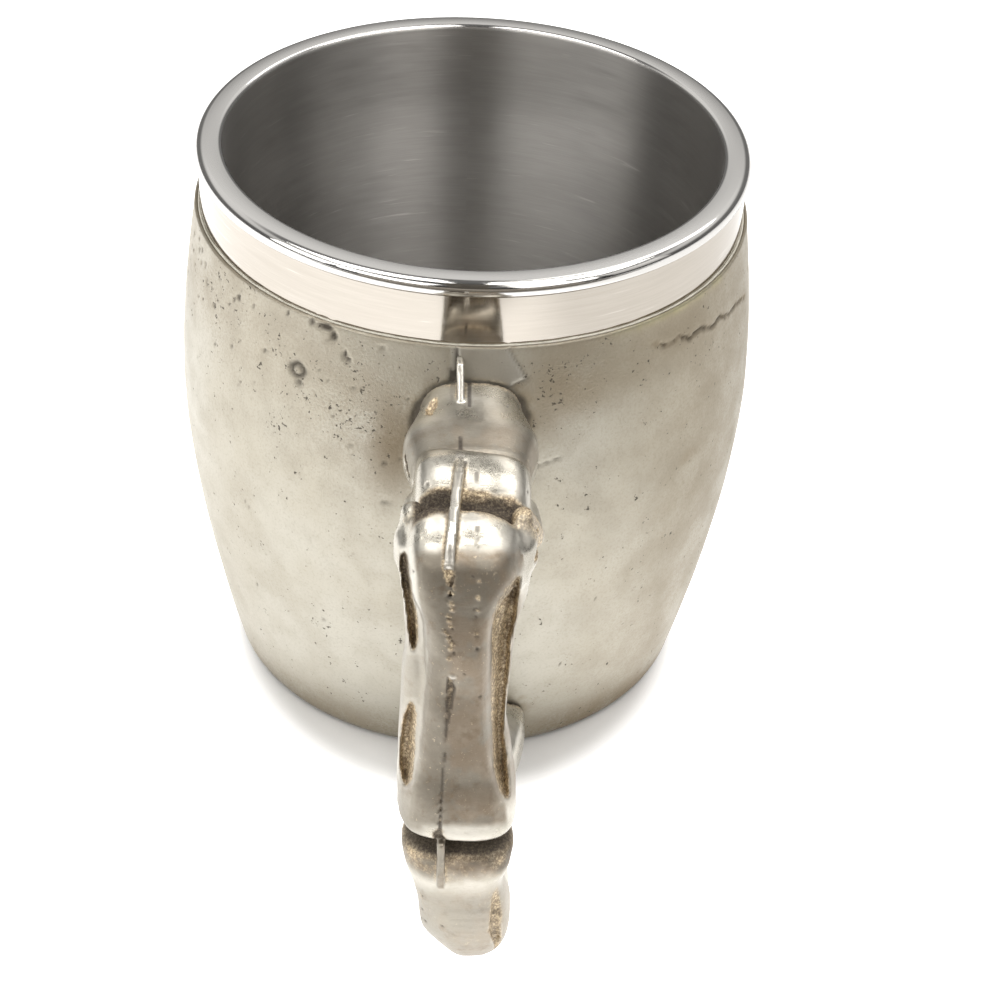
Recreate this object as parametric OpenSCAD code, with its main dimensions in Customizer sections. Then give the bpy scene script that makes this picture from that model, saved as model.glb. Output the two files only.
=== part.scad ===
// Skull mug: a double-walled steel cup bonded into a cast skull, with a curled bone finger as its handle.
// Millimetres. The origin is the centre of the base on the table, +Z runs up the cup's axis,
// the face looks towards -Y and the handle stands out towards +Y.

/* [Steel cup] */
// Height from the table to the top of the lip
cup_height = 93; // [80:0.5:110]
// Outside diameter of the lip
lip_d = 86; // [76:0.5:100]
// Inside diameter of the mouth
mouth_d = 77.4; // [68:0.2:92]
// Depth of the straight part of the mouth
mouth_depth = 14; // [8:1:30]
// Inside diameter just above the floor of the liner
floor_d = 62; // [50:0.5:70]
// Height of the liner's floor above the table
floor_z = 8.6; // [7:0.1:12]
// Radius of the corner between the liner's wall and floor
floor_corner = 7; // [3:0.5:12]
// Thickness of the steel sheet
sheet = 0.8; // [0.5:0.1:1.2]
// Outside diameter of the polished band
band_d = 85; // [75:0.5:99]
// Height of the band that shows under the lip
band_h = 10.4; // [6:0.2:16]
// Outside diameter of the outer wall under its shoulder
neck_d = 80; // [70:0.5:84]
// Outside diameter of the outer wall at its foot
foot_d = 68; // [60:0.5:74]
// Height of the foot of the outer wall above the table
foot_z = 4; // [3:0.1:6]

/* [Skull body] */
// Largest diameter of the cranium
belly_d = 92; // [86:0.5:110]
// Height of the largest diameter
belly_z = 53; // [40:1:65]
// Diameter the sides run towards at the table
base_d = 75.6; // [64:0.2:90]
// Radius of the rounded lower edge
base_round = 2; // [1:0.5:9]
// Radius of the front of the face
face_r = 47.4; // [45:0.2:52]
// Depth of the eye sockets
orbit_depth = 8.6; // [4:0.2:9]
// Half the width of an eye socket
orbit_w = 14; // [9:0.5:16]
// Half the height of an eye socket
orbit_h = 11.6; // [8:0.2:14]
// Height of the middle of the eye sockets
orbit_z = 46; // [40:0.5:52]
// Depth of the nose opening
nose_depth = 7; // [3:0.2:8]
// Thickness of the adhesive round the cup
bond = 0.3; // [0.1:0.05:0.6]

/* [Handle] */
// Height of the upper bone's axis
root_z = 69.5; // [60:0.5:72]
// Distance of the upper knuckle from the cup's axis
knuckle_y = 75.5; // [66:0.5:84]
// Distance of the lower bend from the cup's axis
heel_y = 83.6; // [74:0.2:92]
// Height of the lower bone's axis
heel_z = 7.6; // [6.5:0.1:12]
// Width of the finger at its knuckles
bone_w = 16.4; // [12:0.2:20]
// How far the fingertip leans to the side
tip_lean = 2.4; // [0:0.1:3]
// Diameter of the wire cast into the finger
core_d = 3; // [2:0.5:4]
// Diameter of the two tenons
tenon_d = 8; // [7:0.5:10]
// Length of a tenon inside the body
tenon_l = 3.2; // [2:0.1:4]

/* [Base] */
// Diameter of the base pad
pad_d = 58; // [40:1:64]
// Thickness of the base pad
pad_t = 1; // [0.6:0.1:2]

/* [Hidden] */
$fn = 96;
lip_r = lip_d / 2;
mouth_r = mouth_d / 2;
floor_r = floor_d / 2;
band_r = band_d / 2;
neck_r = neck_d / 2;
foot_r = foot_d / 2;
belly_r = belly_d / 2;
base_r = base_d / 2;
seam_z = cup_height - 2.2;              // where the outer wall meets the skirt of the lip
body_top = cup_height - band_h;         // upper edge of the casting
body_bottom = 0.6;                      // lower face of the casting, held off the table by the pad
body_top_r = band_r + bond + 0.45;
shoulder_z = body_top - 2;
neck_z = body_top - 8;
upper_bend = 7;                         // bend radius of the finger's axis at the upper knuckle
lower_bend = 6;                         // and at the heel
tenon_gap = 0.2;                        // epoxy round a tenon

function ramp(x, a, b) = let (t = min(1, max(0, (x - a) / (b - a)))) t * t * (3 - 2 * t);
function bell(x) = exp(-x * x);
function arc(cx, cy, r, a0, a1, n) = [for (i = [0:n]) let (a = a0 + (a1 - a0) * i / n) [cx + r * cos(a), cy + r * sin(a)]];

// ---- steel cup ----------------------------------------------------------------------------------------------------

// Half section of the liner's inside, from the axis out to the lip
function liner_inside() = concat(
    [[0, floor_z]],
    arc(floor_r - floor_corner, floor_z + floor_corner, floor_corner, -90, 0, 8),
    [[mouth_r, cup_height - mouth_depth]],
    arc(mouth_r + 0.8, cup_height - 0.8, 0.8, 180, 90, 4));

function liner_outside() = concat(
    [[0, floor_z - sheet]],
    arc(floor_r - floor_corner, floor_z + floor_corner, floor_corner + sheet, -90, 0, 8),
    [[mouth_r + sheet, cup_height - mouth_depth], [mouth_r + sheet, cup_height - sheet - 0.6]]);

module inner_liner() color([0.72, 0.72, 0.71])
    rotate_extrude()
        polygon(concat(
            liner_inside(),
            arc(lip_r - 1.3, cup_height - 1.3, 1.3, 90, 0, 6),
            [[lip_r, seam_z], [band_r - sheet, seam_z], [band_r - sheet, cup_height - sheet - 0.6],
             [band_r - sheet - 0.6, cup_height - sheet], [mouth_r + sheet + 0.6, cup_height - sheet]],
            [for (i = [len(liner_outside()) - 1:-1:0]) liner_outside()[i]]));

// Outer face of the outer wall, from the seam down to the foot; grown by g for the adhesive
function cup_outside(g) = concat(
    [[band_r + g, shoulder_z], [neck_r + g, neck_z]],
    arc(foot_r - 3, foot_z + 3, 3 + g, 0, -90, 5));

module outer_cup() color([0.86, 0.85, 0.83])
    rotate_extrude()
        polygon(concat(
            [[band_r, seam_z]],
            cup_outside(0),
            [[foot_r - 7, foot_z], [foot_r - 7, foot_z + sheet]],
            arc(foot_r - 3, foot_z + 3, 3 - sheet, -90, 0, 5),
            [[neck_r - sheet, neck_z], [band_r - sheet, shoulder_z], [band_r - sheet, seam_z]]));

module cup_base() color([0.62, 0.62, 0.61])
    translate([0, 0, foot_z + sheet])
        cylinder(r = foot_r - 3.5, h = sheet);

// ---- adhesive between cup and casting -----------------------------------------------------------------------------

module bond_sleeve() color([0.62, 0.62, 0.42])
    rotate_extrude()
        polygon(concat(
            [[band_r, body_top + 0.6], [band_r + bond, body_top]],
            cup_outside(bond),
            [[0, foot_z - bond], [0, foot_z]],
            [for (i = [len(cup_outside(0)) - 1:-1:0]) cup_outside(0)[i]]));

// ---- skull casting ------------------------------------------------------------------------------------------------

// Radius of the plain cranium at height z
function barrel(z) =
    z > belly_z
    ? belly_r - (belly_r - body_top_r) * pow((z - belly_z) / (body_top - belly_z), 1.7)
    : belly_r - (belly_r - base_r) * pow((belly_z - z) / belly_z, 1.7)
      - (z < base_round ? 0.55 * (base_round - sqrt(base_round * base_round - pow(base_round - z, 2))) : 0);

// Upper teeth on one side: where each one ends, measured round the front from the middle
tooth_ends = [0, 6.2, 11.4, 17, 22.2, 27.2];

function tooth(u, i = 0) =
    i > len(tooth_ends) - 2 ? 0
    : u < tooth_ends[i + 1]
      ? let (c = (tooth_ends[i] + tooth_ends[i + 1]) / 2, h = (tooth_ends[i + 1] - tooth_ends[i]) / 2)
        1 - pow(abs(u - c) / h, 4)
      : tooth(u, i + 1);

// How far the face stands out of the cranium (or goes into it) at u round from the middle and height z
function relief(u, z) =
    let (
        forward = max(0, face_r - barrel(z)),
        mid = 1 - ramp(u, 34, 56),
        low = 1 - ramp(u, 21, 32),
        face = forward * (1 - ramp(z, 62, 76)) * (low + (mid - low) * ramp(z, 18, 28)),
        brow = 2.3 * bell((z - 59.5 + 0.005 * pow(u - 16, 2)) / 3.4) * (1 - ramp(u, 34, 46)),
        cheek = 2.6 * bell((u - 39) / 9) * bell((z - 29.5) / 5.6),
        arch = 1.8 * bell((z - 30) / 3.6) * ramp(u, 38, 48) * (1 - ramp(u, 56, 70)),
        hollow = -4.4 * bell((u - 41) / 12) * bell((z - 12) / 8),
        temple = -2 * bell((u - 54) / 9) * bell((z - 50) / 12),
        bridge = 3 * bell(u / 5.5) * ramp(z, 37, 41) * (1 - ramp(z, 49, 60)),
        ro = pow(pow(abs(u - 22) / orbit_w, 2.6) + pow(abs(z - orbit_z + 0.12 * (u - 22)) / orbit_h, 2.6), 1 / 2.6),
        orbit = -(orbit_depth + brow) * (1 - ramp(ro, 0.5, 1.06)),
        nw = 8.6 * pow(max(0.02, min(1, (41 - z) / 24)), 0.55),
        nose = -(nose_depth + bridge) * (1 - ramp(u / nw, 0.55, 1.05)) * ramp(z, 15.5, 19) * (1 - ramp(z, 36, 41)),
        spine = 1.6 * bell(u / 2) * bell((z - 17.5) / 2.4),
        teeth = (2.1 * tooth(u) - 0.5) * low * ramp(z, 0.8, 2.6) * (1 - ramp(z, 9.4, 12)),
        roots = 0.6 * tooth(u) * low * ramp(z, 10, 13) * (1 - ramp(z, 15, 21))
    )
    face + brow + cheek + arch + hollow + temple + bridge + orbit + nose + spine + teeth + roots;

// Columns are close together round the face and wide apart at the back
columns = concat([for (i = [0:83]) -100 + 200 * i / 84], [for (i = [0:27]) 100 + 160 * i / 28]);
rows = concat([for (i = [0:9]) body_bottom + 1.2 * i], [for (i = [0:28]) body_bottom + 12 + (body_top - body_bottom - 12) * i / 28]);

function skin(a, z) = let (t = a > 180 ? a - 360 : a, r = barrel(z) + relief(abs(t) * belly_r * PI / 180, z))
    [r * sin(t), -r * cos(t), z];

module casting_skin() {
    n = len(columns);
    m = len(rows);
    polyhedron(
        points = concat(
            [for (z = rows) for (a = columns) skin(a, z)],
            [[0, 0, body_bottom], [0, 0, body_top]]),
        faces = concat(
            [for (j = [0:m - 2]) for (i = [0:n - 1]) let (k = (i + 1) % n) [j * n + i, (j + 1) * n + i, (j + 1) * n + k]],
            [for (j = [0:m - 2]) for (i = [0:n - 1]) let (k = (i + 1) % n) [j * n + i, (j + 1) * n + k, j * n + k]],
            [for (i = [0:n - 1]) [m * n, i, (i + 1) % n]],
            [for (i = [0:n - 1]) [m * n + 1, (m - 1) * n + (i + 1) % n, (m - 1) * n + i]]),
        convexity = 8);
}

module skull_body() color([0.78, 0.765, 0.72])
    difference() {
        casting_skin();
        rotate_extrude()
            polygon(concat(
                [[0, cup_height], [band_r + bond, cup_height]],
                cup_outside(bond),
                [[0, foot_z - bond]]));
        upper_socket(tenon_gap);
        lower_socket(tenon_gap);
        translate([0, 0, body_bottom - 1])
            cylinder(d = pad_d + 0.4, h = pad_t - body_bottom + 1);
    }

// ---- handle -------------------------------------------------------------------------------------------------------

root_y = barrel(root_z);
tip_y = barrel(heel_z);

// A peg of the handle, grown by g all round, from its end in the body out to inside the finger
module upper_socket(g)
    translate([0, root_y - tenon_l - g, root_z])
        rotate([-90, 0, 0])
            cylinder(d = tenon_d + 2 * g, h = tenon_l + g + 4);

module lower_socket(g)
    translate([0, tip_y - tenon_l - g, heel_z])
        rotate([-90, 0, 0])
            cylinder(d = tenon_d + 2 * g, h = tenon_l + g + 4);

// The finger's axis: out from the body, down, and back in along the table, with two bends
down = atan2(heel_y - knuckle_y, root_z - heel_z);       // lean of the middle bone out from the vertical
turn1 = 90 - down;
turn2 = 90 + down;
cut1 = upper_bend * tan(turn1 / 2);
cut2 = lower_bend * tan(turn2 / 2);
start_y = root_y - 2.5;
end_y = tip_y - 2.5;
len1 = knuckle_y - cut1 - start_y;
len2 = upper_bend * turn1 * PI / 180;
len3 = norm([heel_y - knuckle_y, root_z - heel_z]) - cut1 - cut2;
len4 = lower_bend * turn2 * PI / 180;
len5 = heel_y - cut2 - end_y;
axis_len = len1 + len2 + len3 + len4 + len5;
dirb = [sin(down), -cos(down)];
bend2_y = heel_y - cut2 * sin(down);
bend2_z = heel_z + cut2 * cos(down);

// Point on the axis and its heading angle (0 is out along +Y, -90 is down) at length l
function axis_at(l) =
    l < len1 ? [start_y + l, root_z, 0]
    : l < len1 + len2
      ? let (a = (l - len1) / upper_bend * 180 / PI)
        [knuckle_y - cut1 + upper_bend * sin(a), root_z - upper_bend * (1 - cos(a)), -a]
    : l < len1 + len2 + len3
      ? let (d = l - len1 - len2 + cut1) [knuckle_y + d * dirb[0], root_z + d * dirb[1], -turn1]
    : l < len1 + len2 + len3 + len4
      ? let (a = (l - len1 - len2 - len3) / lower_bend * 180 / PI)
        [bend2_y + lower_bend * (sin(turn1 + a) - sin(turn1)),
         bend2_z - lower_bend * (cos(turn1) - cos(turn1 + a)), -turn1 - a]
    : let (d = l - len1 - len2 - len3 - len4) [heel_y - cut2 - d, heel_z, -180];

// Lengths of the joints along the axis
joint1 = len1 + len2 * 0.45;
joint2 = len1 + len2 + len3 - 8;

// Half width of the finger at length l
function bone_half(l) =
    let (b = bone_w / 2,
         prox = b * (1.02 + 0.1 * bell((l - 9) / 6) - 0.03 * bell((l - 17) / 4)),
         midb = b * (1.02 - 0.1 * bell((l - (joint1 + joint2) / 2) / 14)),
         dist = b * (0.98 - 0.3 * bell((l - joint2 - 36) / 12) + 0.04 * ramp(l, axis_len - 14, axis_len - 6)),
         notch1 = 0.3 * bell((l - joint1) / 2.2),
         notch2 = 0.2 * bell((l - joint2) / 1.8))
    (l < joint1 ? prox : l < joint2 ? midb : dist) * (1 - notch1 - notch2);

// Half depth of the finger on its outer side and on its inner side
function bone_out(l) =
    let (base = l < joint1 ? 6.7 : l < joint2 ? 6.9 - 1 * bell((l - (joint1 + joint2) / 2) / 15) : 6.9 - 2 * ramp(l, joint2 + 24, axis_len - 12))
    base * (1 - 0.5 * bell((l - joint1) / 2.4) - 0.3 * bell((l - joint2) / 1.8));
function bone_in(l) =
    let (base = l < joint1 ? 6.6 : l < joint2 ? 6.4 - 1.4 * bell((l - (joint1 + joint2) / 2) / 15) : 5.8 - 0.8 * ramp(l, joint2 + 20, axis_len - 12))
    base * (1 - 0.3 * bell((l - joint1) / 2.4) - 0.2 * bell((l - joint2) / 1.8));

stations = 76;
spokes = 24;

function bone_ring(l) =
    let (p = axis_at(l), w = bone_half(l), o = bone_out(l), n = bone_in(l), x = -tip_lean * ramp(l, joint2, axis_len - 8))
    [for (i = [0:spokes - 1])
        let (a = 360 * i / spokes, c = cos(a), s = sin(a),
             cx = sign(c) * pow(abs(c), 0.8), sn = sign(s) * pow(abs(s), 0.8),
             d = s > 0 ? o * sn : n * sn,
             h = p[2] + 90)
        [x + w * cx, p[0] + d * cos(h), p[1] + d * sin(h)]];

module finger_skin() {
    n = spokes;
    m = stations + 1;
    e0 = axis_at(0);
    e1 = axis_at(axis_len);
    polyhedron(
        points = concat(
            [for (j = [0:stations]) for (p = bone_ring(axis_len * j / stations)) p],
            [[0, e0[0], e0[1]], [-tip_lean, e1[0], e1[1]]]),
        faces = concat(
            [for (j = [0:m - 2]) for (i = [0:n - 1]) let (k = (i + 1) % n) [j * n + i, (j + 1) * n + k, (j + 1) * n + i]],
            [for (j = [0:m - 2]) for (i = [0:n - 1]) let (k = (i + 1) % n) [j * n + i, j * n + k, (j + 1) * n + k]],
            [for (i = [0:n - 1]) [m * n, (i + 1) % n, i]],
            [for (i = [0:n - 1]) [m * n + 1, (m - 1) * n + i, (m - 1) * n + (i + 1) % n]]),
        convexity = 8);
}

// The plain cranium as a turned solid, grown by g, to fit the finger's two ends against
module barrel_solid(g)
    rotate_extrude()
        polygon(concat([[0, 0]], [for (i = [0:40]) let (z = body_top * i / 40) [barrel(z) + g, z]], [[0, body_top]]));

module finger_handle() color([0.82, 0.81, 0.79])
    difference() {
        union() {
            difference() {
                finger_skin();
                barrel_solid(0.12);
            }
            upper_socket(0);
            lower_socket(0);
        }
        core_wire();
    }

// The wire follows the finger's axis from the end of one tenon to the end of the other
wire_end = tenon_l - 2.5;
wire_stations = concat(
    [-wire_end], [for (i = [0:6]) len1 + len2 * i / 6],
    [for (i = [0:6]) len1 + len2 + len3 + len4 * i / 6], [axis_len + wire_end]);

module core_wire() {
    n = 20;
    m = len(wire_stations);
    e0 = axis_at(wire_stations[0]);
    e1 = axis_at(wire_stations[m - 1]);
    polyhedron(
        points = concat(
            [for (l = wire_stations) let (p = axis_at(l), h = p[2] + 90) for (i = [0:n - 1]) let (a = 360 * i / n)
                [core_d / 2 * cos(a), p[0] + core_d / 2 * sin(a) * cos(h), p[1] + core_d / 2 * sin(a) * sin(h)]],
            [[0, e0[0], e0[1]], [0, e1[0], e1[1]]]),
        faces = concat(
            [for (j = [0:m - 2]) for (i = [0:n - 1]) let (k = (i + 1) % n) [j * n + i, (j + 1) * n + k, (j + 1) * n + i]],
            [for (j = [0:m - 2]) for (i = [0:n - 1]) let (k = (i + 1) % n) [j * n + i, j * n + k, (j + 1) * n + k]],
            [for (i = [0:n - 1]) [m * n, (i + 1) % n, i]],
            [for (i = [0:n - 1]) [m * n + 1, (m - 1) * n + i, (m - 1) * n + (i + 1) % n]]),
        convexity = 6);
}

module handle_core() color([0.5, 0.5, 0.5]) core_wire();

module handle_epoxy() color([0.75, 0.66, 0.4]) {
    epoxy_cup(root_y, root_z);
    epoxy_cup(tip_y, heel_z);
}

// The epoxy left between one tenon and its socket
module epoxy_cup(y, z)
    translate([0, y - tenon_l - tenon_gap, z])
        rotate([-90, 0, 0])
            difference() {
                cylinder(d = tenon_d + 2 * tenon_gap, h = tenon_l + tenon_gap - 0.6);
                translate([0, 0, tenon_gap])
                    cylinder(d = tenon_d, h = tenon_l + 1);
            }

// ---- base ---------------------------------------------------------------------------------------------------------

module base_pad() color([0.08, 0.08, 0.08])
    cylinder(d = pad_d, h = pad_t);

inner_liner();
outer_cup();
cup_base();
bond_sleeve();
skull_body();
finger_handle();
handle_core();
handle_epoxy();
base_pad();
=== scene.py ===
import math

import bpy
import numpy as np
from mathutils import Matrix, Vector


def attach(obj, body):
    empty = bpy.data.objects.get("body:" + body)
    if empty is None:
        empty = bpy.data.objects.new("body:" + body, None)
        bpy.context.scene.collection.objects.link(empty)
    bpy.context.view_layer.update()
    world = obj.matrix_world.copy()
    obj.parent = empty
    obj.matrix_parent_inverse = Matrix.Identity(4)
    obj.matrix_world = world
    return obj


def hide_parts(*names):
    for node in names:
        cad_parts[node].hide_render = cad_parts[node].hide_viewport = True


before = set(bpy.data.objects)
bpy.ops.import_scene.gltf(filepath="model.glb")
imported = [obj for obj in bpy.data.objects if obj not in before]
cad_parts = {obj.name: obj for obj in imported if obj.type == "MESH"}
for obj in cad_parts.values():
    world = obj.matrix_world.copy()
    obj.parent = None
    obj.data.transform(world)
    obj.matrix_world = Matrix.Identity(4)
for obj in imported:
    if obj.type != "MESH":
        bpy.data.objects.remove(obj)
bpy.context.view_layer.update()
MM = 0.001

# ---------------------------------------------------------------------------------------------------------------------
# Small tools: smooth steps, seeded value noise, meshes from arrays
# ---------------------------------------------------------------------------------------------------------------------


def ramp(x, a, b):
    t = np.clip((x - a) / (b - a), 0, 1)
    return t * t * (3 - 2 * t)


def bell(x):
    return np.exp(-x * x)


def smin(a, b, k):
    h = np.clip(0.5 + 0.5 * (b - a) / k, 0, 1)
    return b + (a - b) * h - k * h * (1 - h)


def smax(a, b, k):
    return -smin(-a, -b, k)


def curve(x, xs, ys):
    """Smooth curve through the given stations."""
    xs, ys = np.asarray(xs, float), np.asarray(ys, float)
    d = np.gradient(ys, xs)
    x = np.clip(x, xs[0], xs[-1])
    i = np.clip(np.searchsorted(xs, x, side="right") - 1, 0, len(xs) - 2)
    h = xs[i + 1] - xs[i]
    t = (x - xs[i]) / h
    return ((2 * t ** 3 - 3 * t * t + 1) * ys[i] + (t ** 3 - 2 * t * t + t) * h * d[i]
            + (3 * t * t - 2 * t ** 3) * ys[i + 1] + (t ** 3 - t * t) * h * d[i + 1])


def lattice(ix, iy, iz, seed):
    h = (ix.astype(np.uint32) * np.uint32(374761393) + iy.astype(np.uint32) * np.uint32(668265263)
         + iz.astype(np.uint32) * np.uint32(2147483647) + np.uint32(seed * 974711 % 4294967295))
    h = (h ^ (h >> np.uint32(13))) * np.uint32(1274126177)
    h = (h ^ (h >> np.uint32(16))) * np.uint32(2246822519)
    h = h ^ (h >> np.uint32(15))
    return h.astype(np.float64) / 4294967295.0 * 2 - 1


def noise(p, size, seed):
    """Value noise from -1 to 1 with features of about that size, at points p (mm)."""
    q = p / size + 1000.0
    i = np.floor(q).astype(np.int64)
    f = q - i
    f = f * f * f * (f * (f * 6 - 15) + 10)
    out = 0
    for dx in (0, 1):
        for dy in (0, 1):
            for dz in (0, 1):
                w = ((f[:, 0] if dx else 1 - f[:, 0]) * (f[:, 1] if dy else 1 - f[:, 1])
                     * (f[:, 2] if dz else 1 - f[:, 2]))
                out = out + w * lattice(i[:, 0] + dx, i[:, 1] + dy, i[:, 2] + dz, seed)
    return out


def fbm(p, size, seed, octaves=3):
    return sum(noise(p, size / 2 ** k, seed + 17 * k) * 0.55 ** k for k in range(octaves))


def make_mesh(name, verts_mm, quads=None, tris=None, attrs=None, smooth=True):
    verts = np.ascontiguousarray(verts_mm, np.float64) * MM
    loops, starts = [], []
    n = 0
    for block, k in ((quads, 4), (tris, 3)):
        if block is not None and len(block):
            block = np.asarray(block, np.int32)
            loops.append(block.ravel())
            starts.append(n + np.arange(len(block)) * k)
            n += block.size
    loops, starts = np.concatenate(loops), np.concatenate(starts)
    me = bpy.data.meshes.new(name)
    me.vertices.add(len(verts))
    me.vertices.foreach_set("co", verts.astype(np.float32).ravel())
    me.loops.add(len(loops))
    me.loops.foreach_set("vertex_index", loops.astype(np.int32))
    me.polygons.add(len(starts))
    me.polygons.foreach_set("loop_start", starts.astype(np.int32))
    me.polygons.foreach_set("use_smooth", np.full(len(starts), smooth))
    me.update(calc_edges=True)
    for key, value in (attrs or {}).items():
        a = me.attributes.new(key, "FLOAT", "POINT")
        a.data.foreach_set("value", np.clip(value, 0, 1).astype(np.float32))
    ob = bpy.data.objects.new(name, me)
    bpy.context.scene.collection.objects.link(ob)
    return ob


def arc(cx, cy, r, a0, a1, n):
    return [(cx + r * math.cos(math.radians(a0 + (a1 - a0) * i / n)),
             cy + r * math.sin(math.radians(a0 + (a1 - a0) * i / n))) for i in range(n + 1)]


def lathe(name, profile, segs=256):
    """A closed profile of (radius, height) turned about Z; points on the axis close into fans."""
    prof = list(profile)
    a = 2 * np.pi * np.arange(segs) / segs
    verts, ring = [], []
    for r, z in prof:
        if r < 1e-6:
            ring.append((len(verts), 1))
            verts.append((0.0, 0.0, z))
        else:
            ring.append((len(verts), segs))
            verts.extend(zip(r * np.sin(a), -r * np.cos(a), np.full(segs, z)))
    quads, tris = [], []
    i = np.arange(segs)
    k = (i + 1) % segs
    for j in range(len(prof)):
        (s0, n0), (s1, n1) = ring[j], ring[(j + 1) % len(prof)]
        if n0 == 1 and n1 == 1:
            continue
        if n0 == 1:
            tris.append(np.stack([np.full(segs, s0), s1 + k, s1 + i], 1))
        elif n1 == 1:
            tris.append(np.stack([s0 + i, s0 + k, np.full(segs, s1)], 1))
        else:
            quads.append(np.stack([s0 + i, s0 + k, s1 + k, s1 + i], 1))
    return make_mesh(name, np.array(verts), np.concatenate(quads) if quads else None,
                     np.concatenate(tris) if tris else None)


def outward(ob):
    """Turns every face of a closed mesh to look outwards."""
    import bmesh
    bm = bmesh.new()
    bm.from_mesh(ob.data)
    bmesh.ops.recalc_face_normals(bm, faces=bm.faces)
    bm.to_mesh(ob.data)
    bm.free()
    return ob


# ---------------------------------------------------------------------------------------------------------------------
# Sizes, as in the construction (mm)
# ---------------------------------------------------------------------------------------------------------------------
CUP_H, LIP_R, MOUTH_R, MOUTH_DEPTH = 93.0, 43.0, 38.7, 14.0
FLOOR_R, FLOOR_Z, CORNER, SHEET = 31.0, 8.6, 7.0, 0.8
BAND_R, BODY_TOP, NECK_R, FOOT_R, FOOT_Z = 42.5, 82.6, 40.0, 34.0, 4.0
SEAM_Z, SHOULDER_Z, NECK_Z = 90.8, 80.6, 74.6
BELLY_R, BELLY_Z, BASE_R, BASE_ROUND, FACE_R = 46.0, 53.0, 37.8, 2.0, 47.4
ORBIT_D, ORBIT_W, ORBIT_H, ORBIT_Z, NOSE_D = 8.6, 14.0, 11.6, 46.0, 7.0
BOND, BODY_BOTTOM, PAD_R, PAD_T = 0.3, 0.6, 29.0, 1.0
TOP_R = BAND_R + BOND + 0.45


def barrel(z):
    z = np.asarray(z, float)
    up = BELLY_R - (BELLY_R - TOP_R) * np.clip((z - BELLY_Z) / (BODY_TOP - BELLY_Z), 0, None) ** 1.7
    low = BELLY_R - (BELLY_R - BASE_R) * np.clip((BELLY_Z - z) / BELLY_Z, 0, None) ** 1.7
    e = np.clip(BASE_ROUND - z, 0, BASE_ROUND)
    low = low - 0.55 * (BASE_ROUND - np.sqrt(np.maximum(0, BASE_ROUND ** 2 - e * e)))
    return np.where(z > BELLY_Z, up, low)


TOOTH_ENDS = [0, 6.2, 11.4, 17, 22.2, 27.2]


def tooth(u):
    out = np.zeros_like(u)
    for a, b in zip(TOOTH_ENDS[:-1], TOOTH_ENDS[1:]):
        m = (u >= a) & (u < b)
        out = np.where(m, 1 - (np.abs(u - (a + b) / 2) / ((b - a) / 2)) ** 4, out)
    return out


# ---------------------------------------------------------------------------------------------------------------------
# Camera, floor and light
# ---------------------------------------------------------------------------------------------------------------------
scene = bpy.context.scene
scene.view_settings.view_transform = "Standard"
scene.view_settings.look = "None"
scene.view_settings.exposure = 0.0
scene.view_settings.gamma = 1.0

cam = bpy.data.objects.new("camera", bpy.data.cameras.new("camera"))
scene.collection.objects.link(cam)
cam.data.sensor_width, cam.data.lens = 36.0, 86.4
cam.data.clip_start, cam.data.clip_end = 0.02, 20.0
right = Vector((-0.99897, 0.01515, 0.04265))
up = Vector((0.02493, -0.60225, 0.79792))
back = right.cross(up).normalized()
up = back.cross(right).normalized()
cam.matrix_world = Matrix((
    (right.x, up.x, back.x, 0.00864415),
    (right.y, up.y, back.y, 0.33010692),
    (right.z, up.z, back.z, 0.27154933),
    (0, 0, 0, 1)))
scene.camera = cam


def area_light(name, at, to, size, power, colour=(1, 1, 1), size_y=None, spread=180):
    data = bpy.data.lights.new(name, "AREA")
    data.shape = "RECTANGLE"
    data.size, data.size_y = size, size_y or size
    data.energy, data.color = power, colour
    data.spread = math.radians(spread)
    ob = bpy.data.objects.new(name, data)
    ob.location = at
    ob.rotation_mode = "QUATERNION"
    ob.rotation_quaternion = (Vector(to) - Vector(at)).to_track_quat("-Z", "Y")
    ob.visible_camera = False
    scene.collection.objects.link(ob)
    return ob


area_light("softbox_top_left", (0.40, 0.06, 1.10), (0.14, 0.06, 0.0), 0.60, 5.3, (1.0, 0.99, 0.97), 0.66)
area_light("softbox_top_right", (-0.40, 0.06, 1.10), (-0.14, 0.06, 0.0), 0.60, 6.1, (1.0, 0.985, 0.96), 0.66)
area_light("softbox_front_right", (-0.38, -0.66, 1.00), (0, 0.05, 0.07), 0.50, 2.0, (1.0, 0.985, 0.96))
area_light("softbox_left", (0.63, 0.90, 0.70), (0, 0, 0.08), 0.78, 4.4, (1.0, 0.985, 0.955), 0.55)
area_light("softbox_left_far", (1.03, 0.37, 0.60), (0, 0, 0.08), 0.55, 2.8, (1.0, 0.985, 0.955), 0.55)
area_light("softbox_right", (-0.61, 0.91, 0.70), (0, 0, 0.08), 0.66, 2.95, (1.0, 0.975, 0.94), 0.55)
area_light("softbox_right_high", (-0.42, 0.72, 1.02), (0, 0.03, 0.08), 0.42, 1.5, (1.0, 0.98, 0.95))
area_light("softbox_right_far", (-1.00, 0.40, 0.60), (0, 0, 0.08), 0.55, 0.6, (1.0, 0.975, 0.94), 0.55)

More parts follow.
